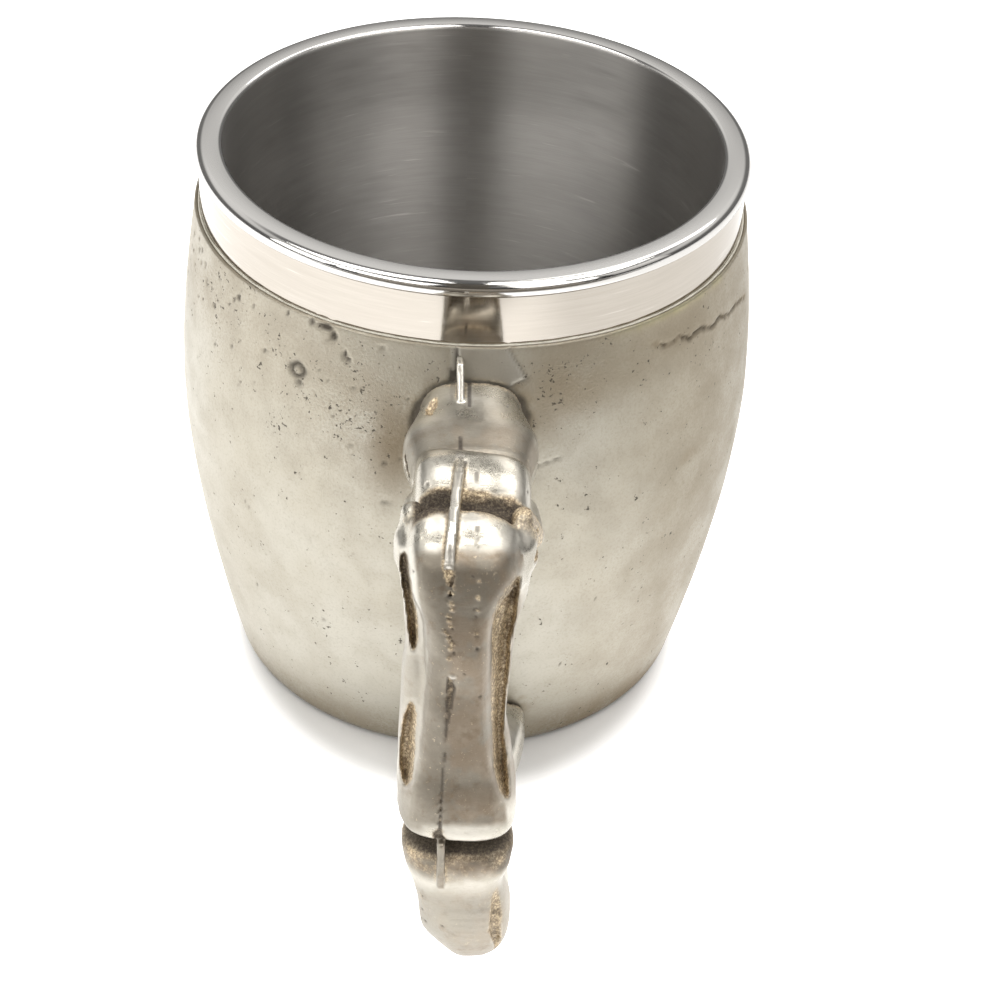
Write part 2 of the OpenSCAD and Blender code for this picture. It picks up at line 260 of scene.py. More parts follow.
world = bpy.data.worlds.new("studio")
scene.world = world
world.use_nodes = True
wn = world.node_tree.nodes
wl = world.node_tree.links
wn.clear()
w_out = wn.new("ShaderNodeOutputWorld")
w_bg = wn.new("ShaderNodeBackground")
w_white = wn.new("ShaderNodeBackground")
w_mix = wn.new("ShaderNodeMixShader")
w_path = wn.new("ShaderNodeLightPath")
w_tex = wn.new("ShaderNodeTexCoord")
w_sep = wn.new("ShaderNodeSeparateXYZ")
w_map = wn.new("ShaderNodeMapRange")
w_map.inputs["From Min"].default_value = 0.75
w_map.inputs["From Max"].default_value = -0.90
w_map.inputs["To Min"].default_value = 0.20
w_map.inputs["To Max"].default_value = 1.0
w_map.interpolation_type = "SMOOTHSTEP"
w_lift = wn.new("ShaderNodeMath")
w_lift.operation = "MULTIPLY_ADD"
w_lift.inputs[1].default_value = -0.35
w_low = wn.new("ShaderNodeMapRange")
w_low.interpolation_type = "SMOOTHSTEP"
w_low.inputs["From Min"].default_value = 0.36
w_low.inputs["From Max"].default_value = 0.54
w_low.inputs["To Min"].default_value = 0.22
w_low.inputs["To Max"].default_value = 1.0
w_high = wn.new("ShaderNodeMapRange")
w_high.interpolation_type = "SMOOTHSTEP"
w_high.inputs["From Min"].default_value = 0.66
w_high.inputs["From Max"].default_value = 0.80
w_high.inputs["To Min"].default_value = 1.0
w_high.inputs["To Max"].default_value = 0.22
w_band = wn.new("ShaderNodeMath")
w_band.operation = "MULTIPLY"
w_all = wn.new("ShaderNodeMath")
w_all.operation = "MULTIPLY"
wl.new(w_sep.outputs["Z"], w_high.inputs["Value"])
wl.new(w_low.outputs["Result"], w_band.inputs[0])
wl.new(w_high.outputs["Result"], w_band.inputs[1])
wl.new(w_tex.outputs["Generated"], w_sep.inputs[0])
wl.new(w_sep.outputs["Z"], w_lift.inputs[0])
wl.new(w_sep.outputs["Y"], w_lift.inputs[2])
wl.new(w_sep.outputs["Z"], w_low.inputs["Value"])
wl.new(w_lift.outputs[0], w_map.inputs["Value"])
wl.new(w_map.outputs["Result"], w_all.inputs[0])
wl.new(w_band.outputs[0], w_all.inputs[1])
wl.new(w_all.outputs[0], w_bg.inputs["Strength"])
w_bg.inputs["Color"].default_value = (1.0, 0.985, 0.96, 1)
w_white.inputs["Color"].default_value = (1, 1, 1, 1)
w_white.inputs["Strength"].default_value = 1.0
wl.new(w_path.outputs["Is Camera Ray"], w_mix.inputs[0])
wl.new(w_bg.outputs[0], w_mix.inputs[1])
wl.new(w_white.outputs[0], w_mix.inputs[2])
wl.new(w_mix.outputs[0], w_out.inputs["Surface"])

# ---------------------------------------------------------------------------------------------------------------------
# Materials
# ---------------------------------------------------------------------------------------------------------------------


class Nodes:
    """A short way to write a node material."""

    def __init__(self, name):
        self.mat = bpy.data.materials.new(name)
        self.mat.use_nodes = True
        self.tree = self.mat.node_tree
        self.tree.nodes.clear()
        self.out = self.tree.nodes.new("ShaderNodeOutputMaterial")
        self.bsdf = self.tree.nodes.new("ShaderNodeBsdfPrincipled")
        self.link(self.bsdf.outputs[0], self.out.inputs["Surface"])
        self.coord = self.tree.nodes.new("ShaderNodeTexCoord").outputs["Object"]

    def link(self, a, b):
        self.tree.links.new(a, b)

    def put(self, socket, value):
        if hasattr(value, "links") or hasattr(value, "is_linked"):
            self.link(value, socket)
        elif isinstance(value, (tuple, list)) and len(value) == 3 and socket.type == "RGBA":
            socket.default_value = (*value, 1)
        else:
            socket.default_value = value

    def set(self, key, value):
        self.put(self.bsdf.inputs[key], value)

    def attr(self, name):
        n = self.tree.nodes.new("ShaderNodeAttribute")
        n.attribute_name = name
        return n.outputs["Fac"]

    def math(self, op, a, b=0.0, c=None, clamp=False):
        n = self.tree.nodes.new("ShaderNodeMath")
        n.operation, n.use_clamp = op, clamp
        self.put(n.inputs[0], a)
        self.put(n.inputs[1], b)
        if c is not None:
            self.put(n.inputs[2], c)
        return n.outputs[0]

    def mul(self, a, b):
        return self.math("MULTIPLY", a, b)

    def add(self, a, b):
        return self.math("ADD", a, b)

    def mix(self, fac, a, b, mode="MIX"):
        n = self.tree.nodes.new("ShaderNodeMix")
        n.data_type, n.blend_type = "RGBA", mode
        n.clamp_factor = True
        self.put(n.inputs[0], fac)
        self.put(n.inputs[6], a)
        self.put(n.inputs[7], b)
        return n.outputs[2]

    def mixf(self, fac, a, b):
        n = self.tree.nodes.new("ShaderNodeMix")
        n.data_type = "FLOAT"
        n.clamp_factor = True
        self.put(n.inputs[0], fac)
        self.put(n.inputs[2], a)
        self.put(n.inputs[3], b)
        return n.outputs[0]

    def step(self, value, lo, hi, to0=0.0, to1=1.0):
        n = self.tree.nodes.new("ShaderNodeMapRange")
        n.interpolation_type = "SMOOTHSTEP"
        self.put(n.inputs["Value"], value)
        n.inputs["From Min"].default_value, n.inputs["From Max"].default_value = lo, hi
        n.inputs["To Min"].default_value, n.inputs["To Max"].default_value = to0, to1
        return n.outputs["Result"]

    def noise(self, size_mm, detail=2.0, rough=0.5, coord=None, distortion=0.0):
        n = self.tree.nodes.new("ShaderNodeTexNoise")
        n.inputs["Scale"].default_value = 1000.0 / size_mm
        n.inputs["Detail"].default_value = detail
        n.inputs["Roughness"].default_value = rough
        n.inputs["Distortion"].default_value = distortion
        self.link(coord or self.coord, n.inputs["Vector"])
        return n.outputs["Fac"]

    def cells(self, size_mm, coord=None, feature="F1"):
        n = self.tree.nodes.new("ShaderNodeTexVoronoi")
        n.feature = feature
        n.inputs["Scale"].default_value = 1000.0 / size_mm
        self.link(coord or self.coord, n.inputs["Vector"])
        return n.outputs["Distance"]

    def stretch(self, x, y, z):
        """Object coordinates scaled along each axis."""
        n = self.tree.nodes.new("ShaderNodeMapping")
        n.inputs["Scale"].default_value = (x, y, z)
        self.link(self.coord, n.inputs["Vector"])
        return n.outputs[0]

    def turned(self, along=0.02):
        """Coordinates that wrap round the axis: fine up and down, long round the cup (or out from its middle)."""
        sep = self.tree.nodes.new("ShaderNodeSeparateXYZ")
        self.link(self.coord, sep.inputs[0])
        x, y, z = sep.outputs
        ang = self.math("ARCTAN2", x, y)
        rad = self.math("SQRT", self.add(self.mul(x, x), self.mul(y, y)))
        com = self.tree.nodes.new("ShaderNodeCombineXYZ")
        self.put(com.inputs[0], self.mul(ang, along))
        self.put(com.inputs[1], rad)
        self.put(com.inputs[2], z)
        return com.outputs[0]

    def bump(self, height, distance_mm, strength=1.0, normal=None):
        n = self.tree.nodes.new("ShaderNodeBump")
        n.inputs["Strength"].default_value = strength
        n.inputs["Distance"].default_value = distance_mm * MM
        self.link(height, n.inputs["Height"])
        if normal is not None:
            self.link(normal, n.inputs["Normal"])
        return n.outputs[0]


def steel(name, colour, dark, rough, scratch, brushed):
    m = Nodes(name)
    fine = m.noise(0.14, 2.0, 0.6, m.turned(0.0007))
    long = m.noise(0.9, 2.0, 0.5, m.turned(0.004))
    cloud = m.noise(16.0, 3.0, 0.55)
    scuff = m.step(m.noise(0.45, 2.0, 0.5, m.turned(0.0022)), 0.64, 0.80)
    tone = m.add(m.mul(fine, 0.5), m.add(m.mul(long, 0.3), m.mul(cloud, 0.2)))
    base = m.mix(m.step(tone, 0.36, 0.66), dark, colour)
    base = m.mix(m.mul(scuff, 0.35), base, (0.72, 0.70, 0.67))
    m.set("Metallic", 1.0)
    rough = m.add(m.mul(m.step(tone, 0.3, 0.7), scratch), m.add(m.mul(scuff, scratch * 0.5), rough))
    if brushed:
        sep = m.tree.nodes.new("ShaderNodeSeparateXYZ")
        m.link(m.coord, sep.inputs[0])
        rad = m.math("SQRT", m.add(m.mul(sep.outputs[0], sep.outputs[0]), m.mul(sep.outputs[1], sep.outputs[1])))
        on_lip = m.step(rad, 38.72 * MM, 39.0 * MM)
        rough = m.mixf(on_lip, rough, m.add(m.mul(tone, 0.06), 0.08))
        base = m.mix(on_lip, base, (0.62, 0.61, 0.595))
    m.set("Base Color", base)
    m.set("Roughness", rough)
    if brushed:
        tan = m.tree.nodes.new("ShaderNodeTangent")
        tan.direction_type, tan.axis = "RADIAL", "Z"
        m.link(tan.outputs[0], m.bsdf.inputs["Tangent"])
        m.set("Anisotropic", brushed)
        m.set("Anisotropic Rotation", 0.25)
    m.set("Normal", m.bump(fine, 0.004 if brushed else 0.002, 0.5))
    return m.mat


m_satin = steel("satin_steel", (0.415, 0.402, 0.385), (0.370, 0.357, 0.341), 0.40, 0.08, 0.93)
m_polish = steel("polished_steel", (0.475, 0.440, 0.395), (0.435, 0.400, 0.355), 0.06, 0.06, 0.0)
m_plain = steel("plain_steel", (0.55, 0.545, 0.535), (0.46, 0.455, 0.445), 0.34, 0.12, 0.0)


def body_material():
    m = Nodes("silver_resin")
    cloud = m.noise(26.0, 3.0, 0.55)
    fog = m.noise(7.0, 3.0, 0.6)
    grain = m.noise(0.42, 3.0, 0.62)
    grime, brown = m.attr("grime"), m.attr("brown")
    green, patch, zone = m.attr("green"), m.attr("patch"), m.attr("speck")
    spots = m.add(m.mul(m.noise(0.75, 3.0, 0.6), 0.7), m.mul(m.noise(3.4, 2.0, 0.5), 0.3))
    dots = m.step(m.add(spots, m.mul(zone, 0.066)), 0.640, 0.675)
    base = m.mix(m.step(cloud, 0.36, 0.64), (0.415, 0.386, 0.320), (0.460, 0.438, 0.379))
    base = m.mix(m.mul(m.step(fog, 0.42, 0.66), 0.25), base, (0.385, 0.350, 0.285))
    base = m.mix(m.mul(m.step(grain, 0.50, 0.70), 0.22), base, (0.31, 0.280, 0.225))
    # painted shade from the shade attribute
    base = m.mix(m.mul(m.attr("shade"), 0.92), base, (0.290, 0.256, 0.192))
    smudge = m.mul(brown, m.step(m.add(m.mul(fog, 0.6), m.mul(grain, 0.4)), 0.24, 0.54))
    base = m.mix(m.mul(smudge, 0.92), base, (0.225, 0.172, 0.104))
    base = m.mix(m.mul(green, 0.75), base, (0.44, 0.41, 0.22))
    base = m.mix(m.mul(patch, 0.7), base, (0.40, 0.382, 0.342))
    dirt = m.math("MAXIMUM", grime, m.mul(dots, 0.85))
    base = m.mix(m.mul(dirt, 0.97), base, (0.036, 0.027, 0.017))
    m.set("Base Color", base)
    m.set("Metallic", m.mixf(dirt, 0.80, 0.15))
    rough = m.add(0.40, m.add(m.mul(m.step(fog, 0.35, 0.7), 0.10), m.mul(m.step(grain, 0.4, 0.7), 0.08)))
    m.set("Roughness", m.mixf(dirt, rough, 0.75))
    height = m.add(m.mul(grain, m.add(0.42, m.mul(zone, 1.4))), m.add(m.mul(dots, -1.0), m.mul(m.noise(2.2, 3.0, 0.6), 0.22)))
    m.set("Normal", m.bump(height, 0.10, 0.55))
    return m.mat


def bone_material():
    m = Nodes("bone_resin")
    fog = m.noise(5.0, 3.0, 0.6)
    grain = m.noise(0.38, 3.0, 0.62)
    sand = m.noise(0.40, 3.0, 0.75)
    lines = m.noise(0.30, 3.0, 0.6, m.stretch(0.25, 1.0, 1.0))
    dark, gold, tone, edge = m.attr("dark"), m.attr("gold"), m.attr("tone"), m.attr("edge")
    base = m.mix(m.step(fog, 0.36, 0.66), (0.455, 0.430, 0.372), (0.545, 0.520, 0.465))
    base = m.mix(m.mul(m.step(lines, 0.48, 0.68), 0.25), base, (0.37, 0.34, 0.285))
    # dull brown patina, and painted shade as well, where the tone attribute is set
    dull_brown_and_shade = m.mix(m.attr("warm"), (0.206, 0.181, 0.144), (0.218, 0.173, 0.125))
    base = m.mix(m.mul(tone, m.step(fog, 0.22, 0.60, 0.70, 0.95)), base, dull_brown_and_shade)
    flecks = m.mul(m.step(m.noise(0.55, 3.0, 0.7), 0.60, 0.68), m.step(m.noise(2.8, 2.0, 0.5), 0.42, 0.62))
    base = m.mix(m.mul(m.mul(flecks, tone), 0.55), base, (0.62, 0.535, 0.40))
    stain = m.step(m.noise(2.2, 3.0, 0.65), 0.52, 0.74)
    base = m.mix(m.mul(m.mul(stain, tone), 0.55), base, (0.165, 0.122, 0.082))
    # lighter on worn edges, and a painted highlight on the upper bone's top
    base = m.mix(m.mul(edge, 0.6), base, (0.78, 0.75, 0.69))
    flake = m.step(m.add(m.mul(sand, 0.6), m.mul(grain, 0.4)), 0.44, 0.60)
    base = m.mix(m.mul(gold, 0.95), base, m.mix(flake, (0.255, 0.190, 0.122), (0.76, 0.62, 0.41)))
    base = m.mix(m.mul(dark, m.step(sand, 0.25, 0.75, 1.0, 0.86)), base, (0.030, 0.021, 0.015))
    m.set("Base Color", base)
    m.set("Metallic", m.mixf(m.math("MAXIMUM", dark, m.mul(gold, 0.75)), 0.85, 0.25))
    rough = m.add(m.mixf(tone, 0.245, 0.43), m.add(m.mul(m.step(fog, 0.35, 0.7), 0.08), m.mul(m.step(grain, 0.4, 0.7), 0.08)))
    rough = m.mixf(m.mul(gold, 0.8), rough, 0.42)
    m.set("Roughness", m.mixf(dark, rough, 0.72))
    height = m.add(m.add(m.mul(grain, 0.45), m.mul(lines, 0.40)), m.mul(m.mul(sand, gold), 2.7))
    m.set("Normal", m.bump(height, 0.10, 0.5))
    return m.mat


def plain_material(name, a, b, rough, size, metallic=0.0, bump=0.05):
    m = Nodes(name)
    cloud, grain = m.noise(size * 12, 3.0, 0.55), m.noise(size, 3.0, 0.6)
    m.set("Base Color", m.mix(m.step(m.add(m.mul(cloud, 0.5), m.mul(grain, 0.5)), 0.35, 0.65), a, b))
    m.set("Metallic", metallic)
    m.set("Roughness", m.add(rough, m.mul(grain, 0.15)))
    m.set("Normal", m.bump(grain, bump, 0.6))
    return m.mat


m_body = body_material()
m_bone = bone_material()
m_bond = plain_material("bond_resin", (0.50, 0.475, 0.40), (0.64, 0.615, 0.54), 0.35, 0.8)
m_epoxy = plain_material("epoxy", (0.42, 0.31, 0.13), (0.60, 0.47, 0.22), 0.30, 0.7)
m_foam = plain_material("foam", (0.016, 0.016, 0.017), (0.034, 0.034, 0.036), 0.75, 0.5, 0.0, 0.12)


def floor_material():
    m = Nodes("floor_paper")
    grain = m.noise(1.5, 3.0, 0.6)
    m.set("Base Color", m.mix(grain, (0.74, 0.74, 0.74), (0.77, 0.77, 0.77)))
    m.set("Roughness", m.add(0.75, m.mul(grain, 0.1)))
    sep = m.tree.nodes.new("ShaderNodeSeparateXYZ")
    m.link(m.coord, sep.inputs[0])
    fx, fy = m.mul(sep.outputs[0], 1.22), m.add(sep.outputs[1], -0.0025)
    rad = m.math("SQRT", m.add(m.mul(fx, fx), m.mul(fy, fy)))
    # painted light: the floor glows white from just outside the mug's foot outwards, weaker far towards -X, so only the
    # shadow close to the foot is left
    m.set("Emission Color", (1.0, 1.0, 1.0))
    falls_off = m.step(sep.outputs[0], -0.115, -0.045, 0.42, 1.0)
    m.set("Emission Strength", m.mul(m.step(rad, 0.0415, 0.0515, 0.0, 0.95), falls_off))
    return m.mat


m_floor = floor_material()

m_card = plain_material("card", (0.10, 0.088, 0.072), (0.14, 0.124, 0.102), 0.8, 2.0, 0.0, 0.01)

me = bpy.data.meshes.new("floor")
me.from_pydata([(-3, -3, 0), (3, -3, 0), (3, 0.95, 0), (-3, 0.95, 0)], [], [(0, 1, 2, 3)])
floor = bpy.data.objects.new("floor", me)
scene.collection.objects.link(floor)
me.materials.append(m_floor)

# a dark card on the floor under the camera, out of the picture, that the handle's back mirrors
me = bpy.data.meshes.new("flag")
me.from_pydata([(-0.55, 0.145, 0.004), (0.55, 0.225, 0.004), (0.75, 0.95, 0.004), (-0.75, 0.95, 0.004)], [], [(0, 1, 2, 3)])
flag = bpy.data.objects.new("flag", me)
scene.collection.objects.link(flag)
me.materials.append(m_card)
flag.visible_camera = False

# a grey card standing behind it, for the rounded upper part of the handle
me = bpy.data.meshes.new("card_low")
me.from_pydata([(-0.9, 0.96, 0.004), (0.9, 0.96, 0.004), (0.9, 1.02, 0.26), (-0.9, 1.02, 0.26)], [], [(0, 1, 2, 3)])
card_low = bpy.data.objects.new("card_low", me)
scene.collection.objects.link(card_low)
me.materials.append(plain_material("card_grey", (0.40, 0.36, 0.31), (0.46, 0.42, 0.36), 0.8, 2.0, 0.0, 0.01))
card_low.visible_camera = False

# a narrow dark boom that rises behind the camera; the brushed inside mirrors it as its dark middle streak
me = bpy.data.meshes.new("boom")
boom_v, boom_f = [], []
for j in range(17):
    a = math.radians(15 + 50 * j / 16)
    boom_v += [(-0.042, 0.41 * math.cos(a), 0.09 + 0.41 * math.sin(a)), (0.059, 0.41 * math.cos(a), 0.09 + 0.41 * math.sin(a))]
    if j:
        boom_f.append((2 * j - 2, 2 * j - 1, 2 * j + 1, 2 * j))
me.from_pydata(boom_v, [], boom_f)
boom = bpy.data.objects.new("boom", me)
scene.collection.objects.link(boom)
me.materials.append(m_card)
boom.visible_camera = False

# ---------------------------------------------------------------------------------------------------------------------
# Steel cup: liner with its rolled lip, and the outer wall whose upper part shows as the polished band
# ---------------------------------------------------------------------------------------------------------------------


def finer(points, longest=3.0):
    out = [points[0]]
    for a, b in zip(points[:-1], points[1:]):
        n = max(1, int(math.ceil(math.dist(a, b) / longest)))
        out += [(a[0] + (b[0] - a[0]) * i / n, a[1] + (b[1] - a[1]) * i / n) for i in range(1, n + 1)]
    return out


inside = ([(0, FLOOR_Z), (8, FLOOR_Z), (16, FLOOR_Z)] + arc(FLOOR_R - CORNER, FLOOR_Z + CORNER, CORNER, -90, 0, 16)
          + [(MOUTH_R - 0.35, CUP_H - MOUTH_DEPTH - 3.0), (MOUTH_R - 0.09, CUP_H - MOUTH_DEPTH - 1.0),
             (MOUTH_R, CUP_H - MOUTH_DEPTH + 1.5)]
          + arc(MOUTH_R + 0.8, CUP_H - 0.8, 0.8, 180, 90, 8))
lip = arc(LIP_R - 1.3, CUP_H - 1.3, 1.3, 90, 0, 12) + [(LIP_R, SEAM_Z + 0.25), (LIP_R - 0.2, SEAM_Z)]
skirt = [(BAND_R - SHEET, SEAM_Z), (BAND_R - SHEET, CUP_H - SHEET - 0.6), (BAND_R - SHEET - 0.6, CUP_H - SHEET),
         (MOUTH_R + SHEET + 0.6, CUP_H - SHEET), (MOUTH_R + SHEET, CUP_H - SHEET - 0.6),
         (MOUTH_R + SHEET, CUP_H - MOUTH_DEPTH)]
under = arc(FLOOR_R - CORNER, FLOOR_Z + CORNER, CORNER + SHEET, 0, -90, 12) + [(0, FLOOR_Z - SHEET)]
liner = outward(lathe("steel_liner", finer(inside) + lip + skirt + under, 320))
liner.data.materials.append(m_satin)
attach(liner, "root"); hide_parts("inner_liner")

wall = ([(BAND_R, SEAM_Z - 0.02)] + finer([(BAND_R, SEAM_Z - 0.3), (BAND_R, SHOULDER_Z)], 1.5) + [(NECK_R, NECK_Z)]
        + arc(FOOT_R - 3, FOOT_Z + 3, 3, 0, -90, 8) + [(FOOT_R - 7, FOOT_Z), (FOOT_R - 7, FOOT_Z + SHEET)]
        + arc(FOOT_R - 3, FOOT_Z + 3, 3 - SHEET, -90, 0, 8)
        + [(NECK_R - SHEET, NECK_Z), (BAND_R - SHEET, SHOULDER_Z), (BAND_R - SHEET, SEAM_Z - 0.02)])
cup = outward(lathe("steel_wall", wall, 320))
cup.data.materials.append(m_polish)
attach(cup, "root"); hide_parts("outer_cup")

# The thin uneven bead of adhesive where the casting meets the band, and the film of it down the wall
segs = 360
ang = 2 * np.pi * np.arange(segs) / segs
ringp = np.stack([BAND_R * np.sin(ang), -BAND_R * np.cos(ang), np.full(segs, BODY_TOP)], 1)
rise = 0.12 + 0.10 * fbm(ringp, 5.0, 41) + 0.05 * noise(ringp, 1.2, 42)
rise = np.clip(rise, 0.04, 0.30)
prof = [(BAND_R + 0.01, rise, 0), (BAND_R + 0.16, rise * 0.75, 0), (BAND_R + 0.27, rise * 0.2, 0), (BAND_R + BOND - 0.01, None, BODY_TOP - 0.2),
        (BAND_R + BOND - 0.01, None, SHOULDER_Z), (NECK_R + BOND - 0.01, None, NECK_Z), (FOOT_R + BOND - 0.01, None, FOOT_Z + 3),
        (FOOT_R - 0.9 + BOND, None, FOOT_Z + 0.7), (FOOT_R - 3, None, FOOT_Z - BOND + 0.01), (0, None, FOOT_Z - BOND + 0.01),
        (0, None, FOOT_Z - 0.01), (FOOT_R - 3, None, FOOT_Z - 0.01), (FOOT_R - 0.9, None, FOOT_Z + 0.87), (FOOT_R + 0.01, None, FOOT_Z + 3),
        (NECK_R + 0.01, None, NECK_Z), (BAND_R + 0.01, None, SHOULDER_Z)]
bead = lathe("bond_bead", [(r, BODY_TOP if z0 == 0 else z0) for r, _, z0 in prof], segs)
co = np.zeros(len(bead.data.vertices) * 3, np.float32)
bead.data.vertices.foreach_get("co", co)
co = co.reshape(-1, 3)
for j in range(3):
    co[j * segs:(j + 1) * segs, 2] = (BODY_TOP + prof[j][1]) * MM
bead.data.vertices.foreach_set("co", co.ravel())
bead.data.update()
outward(bead)
bead.data.materials.append(m_bond)
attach(bead, "root"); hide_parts("bond_sleeve")

# ---------------------------------------------------------------------------------------------------------------------
# Skull casting
# ---------------------------------------------------------------------------------------------------------------------


def spaced(edges, steps):
    """Positions from edges[0] to edges[-1] with the given spacing in each stretch."""
    out = []
    for a, b, s in zip(edges[:-1], edges[1:], steps):
        n = max(1, int(round((b - a) / s)))
        out += list(a + (b - a) * np.arange(n) / n)
    return np.array(out + [edges[-1]])


cols = spaced([-180, -100, -80, 80, 100, 180], [0.46, 1.1, 0.66, 1.1, 0.52])[:-1]
rows = spaced([BODY_BOTTOM, 14, 60, BODY_TOP - 0.35], [0.53, 0.70, 0.395])
A, Zg = np.meshgrid(cols, rows)
U = np.abs(A) * BELLY_R * math.pi / 180


def relief(u, z):
    forward = np.maximum(0, FACE_R - barrel(z))
    mid = 1 - ramp(u, 34, 56)
    low = 1 - ramp(u, 21, 32)
    face = forward * (1 - ramp(z, 62, 76)) * (low + (mid - low) * ramp(z, 18, 28))
    brow = 2.3 * bell((z - 59.5 + 0.005 * (u - 16) ** 2) / 3.4) * (1 - ramp(u, 34, 46))
    cheek = 2.6 * bell((u - 39) / 9) * bell((z - 29.5) / 5.6)
    arch = 1.8 * bell((z - 30) / 3.6) * ramp(u, 38, 48) * (1 - ramp(u, 56, 70))
    hollow = -4.4 * bell((u - 41) / 12) * bell((z - 12) / 8)
    temple = -2 * bell((u - 54) / 9) * bell((z - 50) / 12)
    bridge = 3 * bell(u / 5.5) * ramp(z, 37, 41) * (1 - ramp(z, 49, 60))
    ro = ((np.abs(u - 22) / ORBIT_W) ** 2.6 + (np.abs(z - ORBIT_Z + 0.12 * (u - 22)) / ORBIT_H) ** 2.6) ** (1 / 2.6)
    sock = 1 - ramp(ro, 0.5, 1.06)
    orbit = -(ORBIT_D + brow) * sock
    nw = 8.6 * np.clip((41 - z) / 24, 0.02, 1) ** 0.55
    hole = (1 - ramp(u / nw, 0.55, 1.05)) * ramp(z, 15.5, 19) * (1 - ramp(z, 36, 41))
    nose = -(NOSE_D + bridge) * hole
    spine = 1.6 * bell(u / 2) * bell((z - 17.5) / 2.4)
    t = tooth(u)
    gum = ramp(z, 0.8, 2.6) * (1 - ramp(z, 9.4, 12))
    teeth = (2.1 * t - 0.5) * low * gum
    roots = 0.6 * t * low * ramp(z, 10, 13) * (1 - ramp(z, 15, 21))
    r = face + brow + cheek + arch + hollow + temple + bridge + orbit + nose + spine + teeth + roots
    return r, sock, hole, t, low, gum


R0, sock, hole, tt, low, gum = relief(U, Zg)
R = barrel(Zg) + R0
P0 = np.stack([R * np.sin(np.radians(A)), -R * np.cos(np.radians(A)), Zg], -1).reshape(-1, 3)
shape = A.shape
flat = lambda a: a.reshape(shape)
fade = ramp(Zg, 1.0, 5.0) * (1 - ramp(Zg, BODY_TOP - 2.5, BODY_TOP - 0.3))
zeros = np.zeros(shape)
grime, brown, green, patch, speck = zeros.copy(), zeros.copy(), zeros.copy(), zeros.copy(), zeros.copy()

# uneven casting
lump = 0.06 * flat(fbm(P0, 18.0, 3)) + 0.012 * flat(fbm(P0, 4.0, 5))
R = R + (lump - 0.05) * fade

# angle round from the middle of the back, in mm along the surface; positive towards +X
V = np.where(A >= 0, (180 - A), (-180 - A)) * math.pi / 180 * 45.0


def at_back(theta):
    """Angle measured from the front over +X, as a distance from the middle of the back."""
    return (180 - theta) * math.pi / 180 * 45.0


def seg_dist(x, y, pts):
    d = np.full(x.shape, 1e9)
    for (x0, y0), (x1, y1) in zip(pts[:-1], pts[1:]):
        vx, vy = x1 - x0, y1 - y0
        t = np.clip(((x - x0) * vx + (y - y0) * vy) / (vx * vx + vy * vy), 0, 1)
        d = np.minimum(d, np.hypot(x - x0 - t * vx, y - y0 - t * vy))
    return d


jit = flat(noise(P0, 1.3, 11))
jit2 = flat(noise(P0, 0.9, 12))

# ragged crack high on the back, right of the handle
crack = [(at_back(217.5), 78.4), (at_back(221), 77.3), (at_back(224.7), 77.6), (at_back(228), 76.5), (at_back(231), 77.0),
         (at_back(235), 75.6), (at_back(238.8), 76.0), (at_back(243), 74.6), (at_back(247), 74.9), (at_back(254.8), 72.8)]
dc = seg_dist(V, Zg + 0.35 * jit2, crack)
wc = 0.24 + 0.16 * jit
R = R - 0.34 * bell(dc / np.maximum(0.14, wc)) * ramp(jit2, -0.6, -0.3)
grime = np.maximum(grime, 0.80 * bell(dc / np.maximum(0.16, wc)) * ramp(jit2, -0.35, 0.15))
brown = np.maximum(brown, 0.65 * bell(dc / 0.9))

# ring pit, two chips under the band, and small pores scattered over the upper left of the back
cx, cz = at_back(145.1), 73.4
dr = np.hypot((V - cx) / 1.15, Zg - cz) + 0.28 * jit
R = R - 0.40 * bell((dr - 1.05) / 0.36) + 0.10 * bell(dr / 0.5)
grime = np.maximum(grime, 0.92 * bell((dr - 1.05) / 0.38))
d2 = np.hypot(V - cx + 0.3, Zg - (cz - 2.0)) + 0.2 * jit
grime = np.maximum(grime, 0.9 * bell(d2 / 0.5))
R = R - 0.3 * bell(d2 / 0.55)
for th, z, a, b in ((150.3, 81.7, 1.3, 0.55), (152.2, 80.6, 0.55, 0.9), (155.1, 78.4, 0.5, 0.8), (155.8, 77.7, 0.7, 0.4)):
    q = np.hypot((V - at_back(th)) / a, (Zg - z) / b) + 0.45 * jit
    R = R - 0.38 * (1 - ramp(q, 0.5, 1.25))
    grime = np.maximum(grime, 0.95 * (1 - ramp(q, 0.45, 1.15)))
rng = np.random.default_rng(7)
jit3 = flat(noise(P0, 0.55, 13))
for count, t0, t1, z0, z1, big_s in ((30, 118, 171, 62, 82, 0.42), (18, 100, 130, 68, 82, 0.46), (16, 100, 260, 6, 80, 0.26), (130, -100, 100, 4, 80, 0.38)):
    for _ in range(count):
        th, z = rng.uniform(t0, t1), rng.uniform(z0, z1)
        s = rng.uniform(0.18, big_s)
        tall = rng.uniform(0.7, 1.6)
        du = (V - at_back(th)) if t0 >= 100 else (A - th) * 0.8
        q = np.hypot(du / s, (Zg - z) / (s * tall)) + 0.55 * jit3 + 0.3 * jit
        R = R - 0.20 * (1 - ramp(q, 0.3, 1.2))
        grime = np.maximum(grime, rng.uniform(0.3, 0.85) * (1 - ramp(q, 0.3, 1.15)))
speck = np.maximum(speck, bell((V - at_back(157)) / 14) * bell((Zg - 72) / 10))
speck = np.maximum(speck, 0.8 * bell((V - at_back(121)) / 9) * bell((Zg - 77) / 6))
speck = np.maximum(speck, 0.35 * bell((V + 28) / 20) * bell((Zg - 74) / 6))
speck = np.maximum(speck, 0.85 * bell((V + 15) / 9) * bell((Zg - 75) / 6))

# scratches
for pts, w in (([(at_back(131), 44.2), (at_back(132.4), 43.0)], 0.16), ([(at_back(149.2), 26.9), (at_back(150.8), 26.2)], 0.16),
               ([(at_back(192), 62.6), (at_back(197.5), 63.8)], 0.14), ([(at_back(164), 55.1), (at_back(171), 54.6)], 0.14)):
    d = seg_dist(V, Zg, pts)
    R = R - 0.14 * bell(d / w)
    grime = np.maximum(grime, 0.45 * bell(d / w))

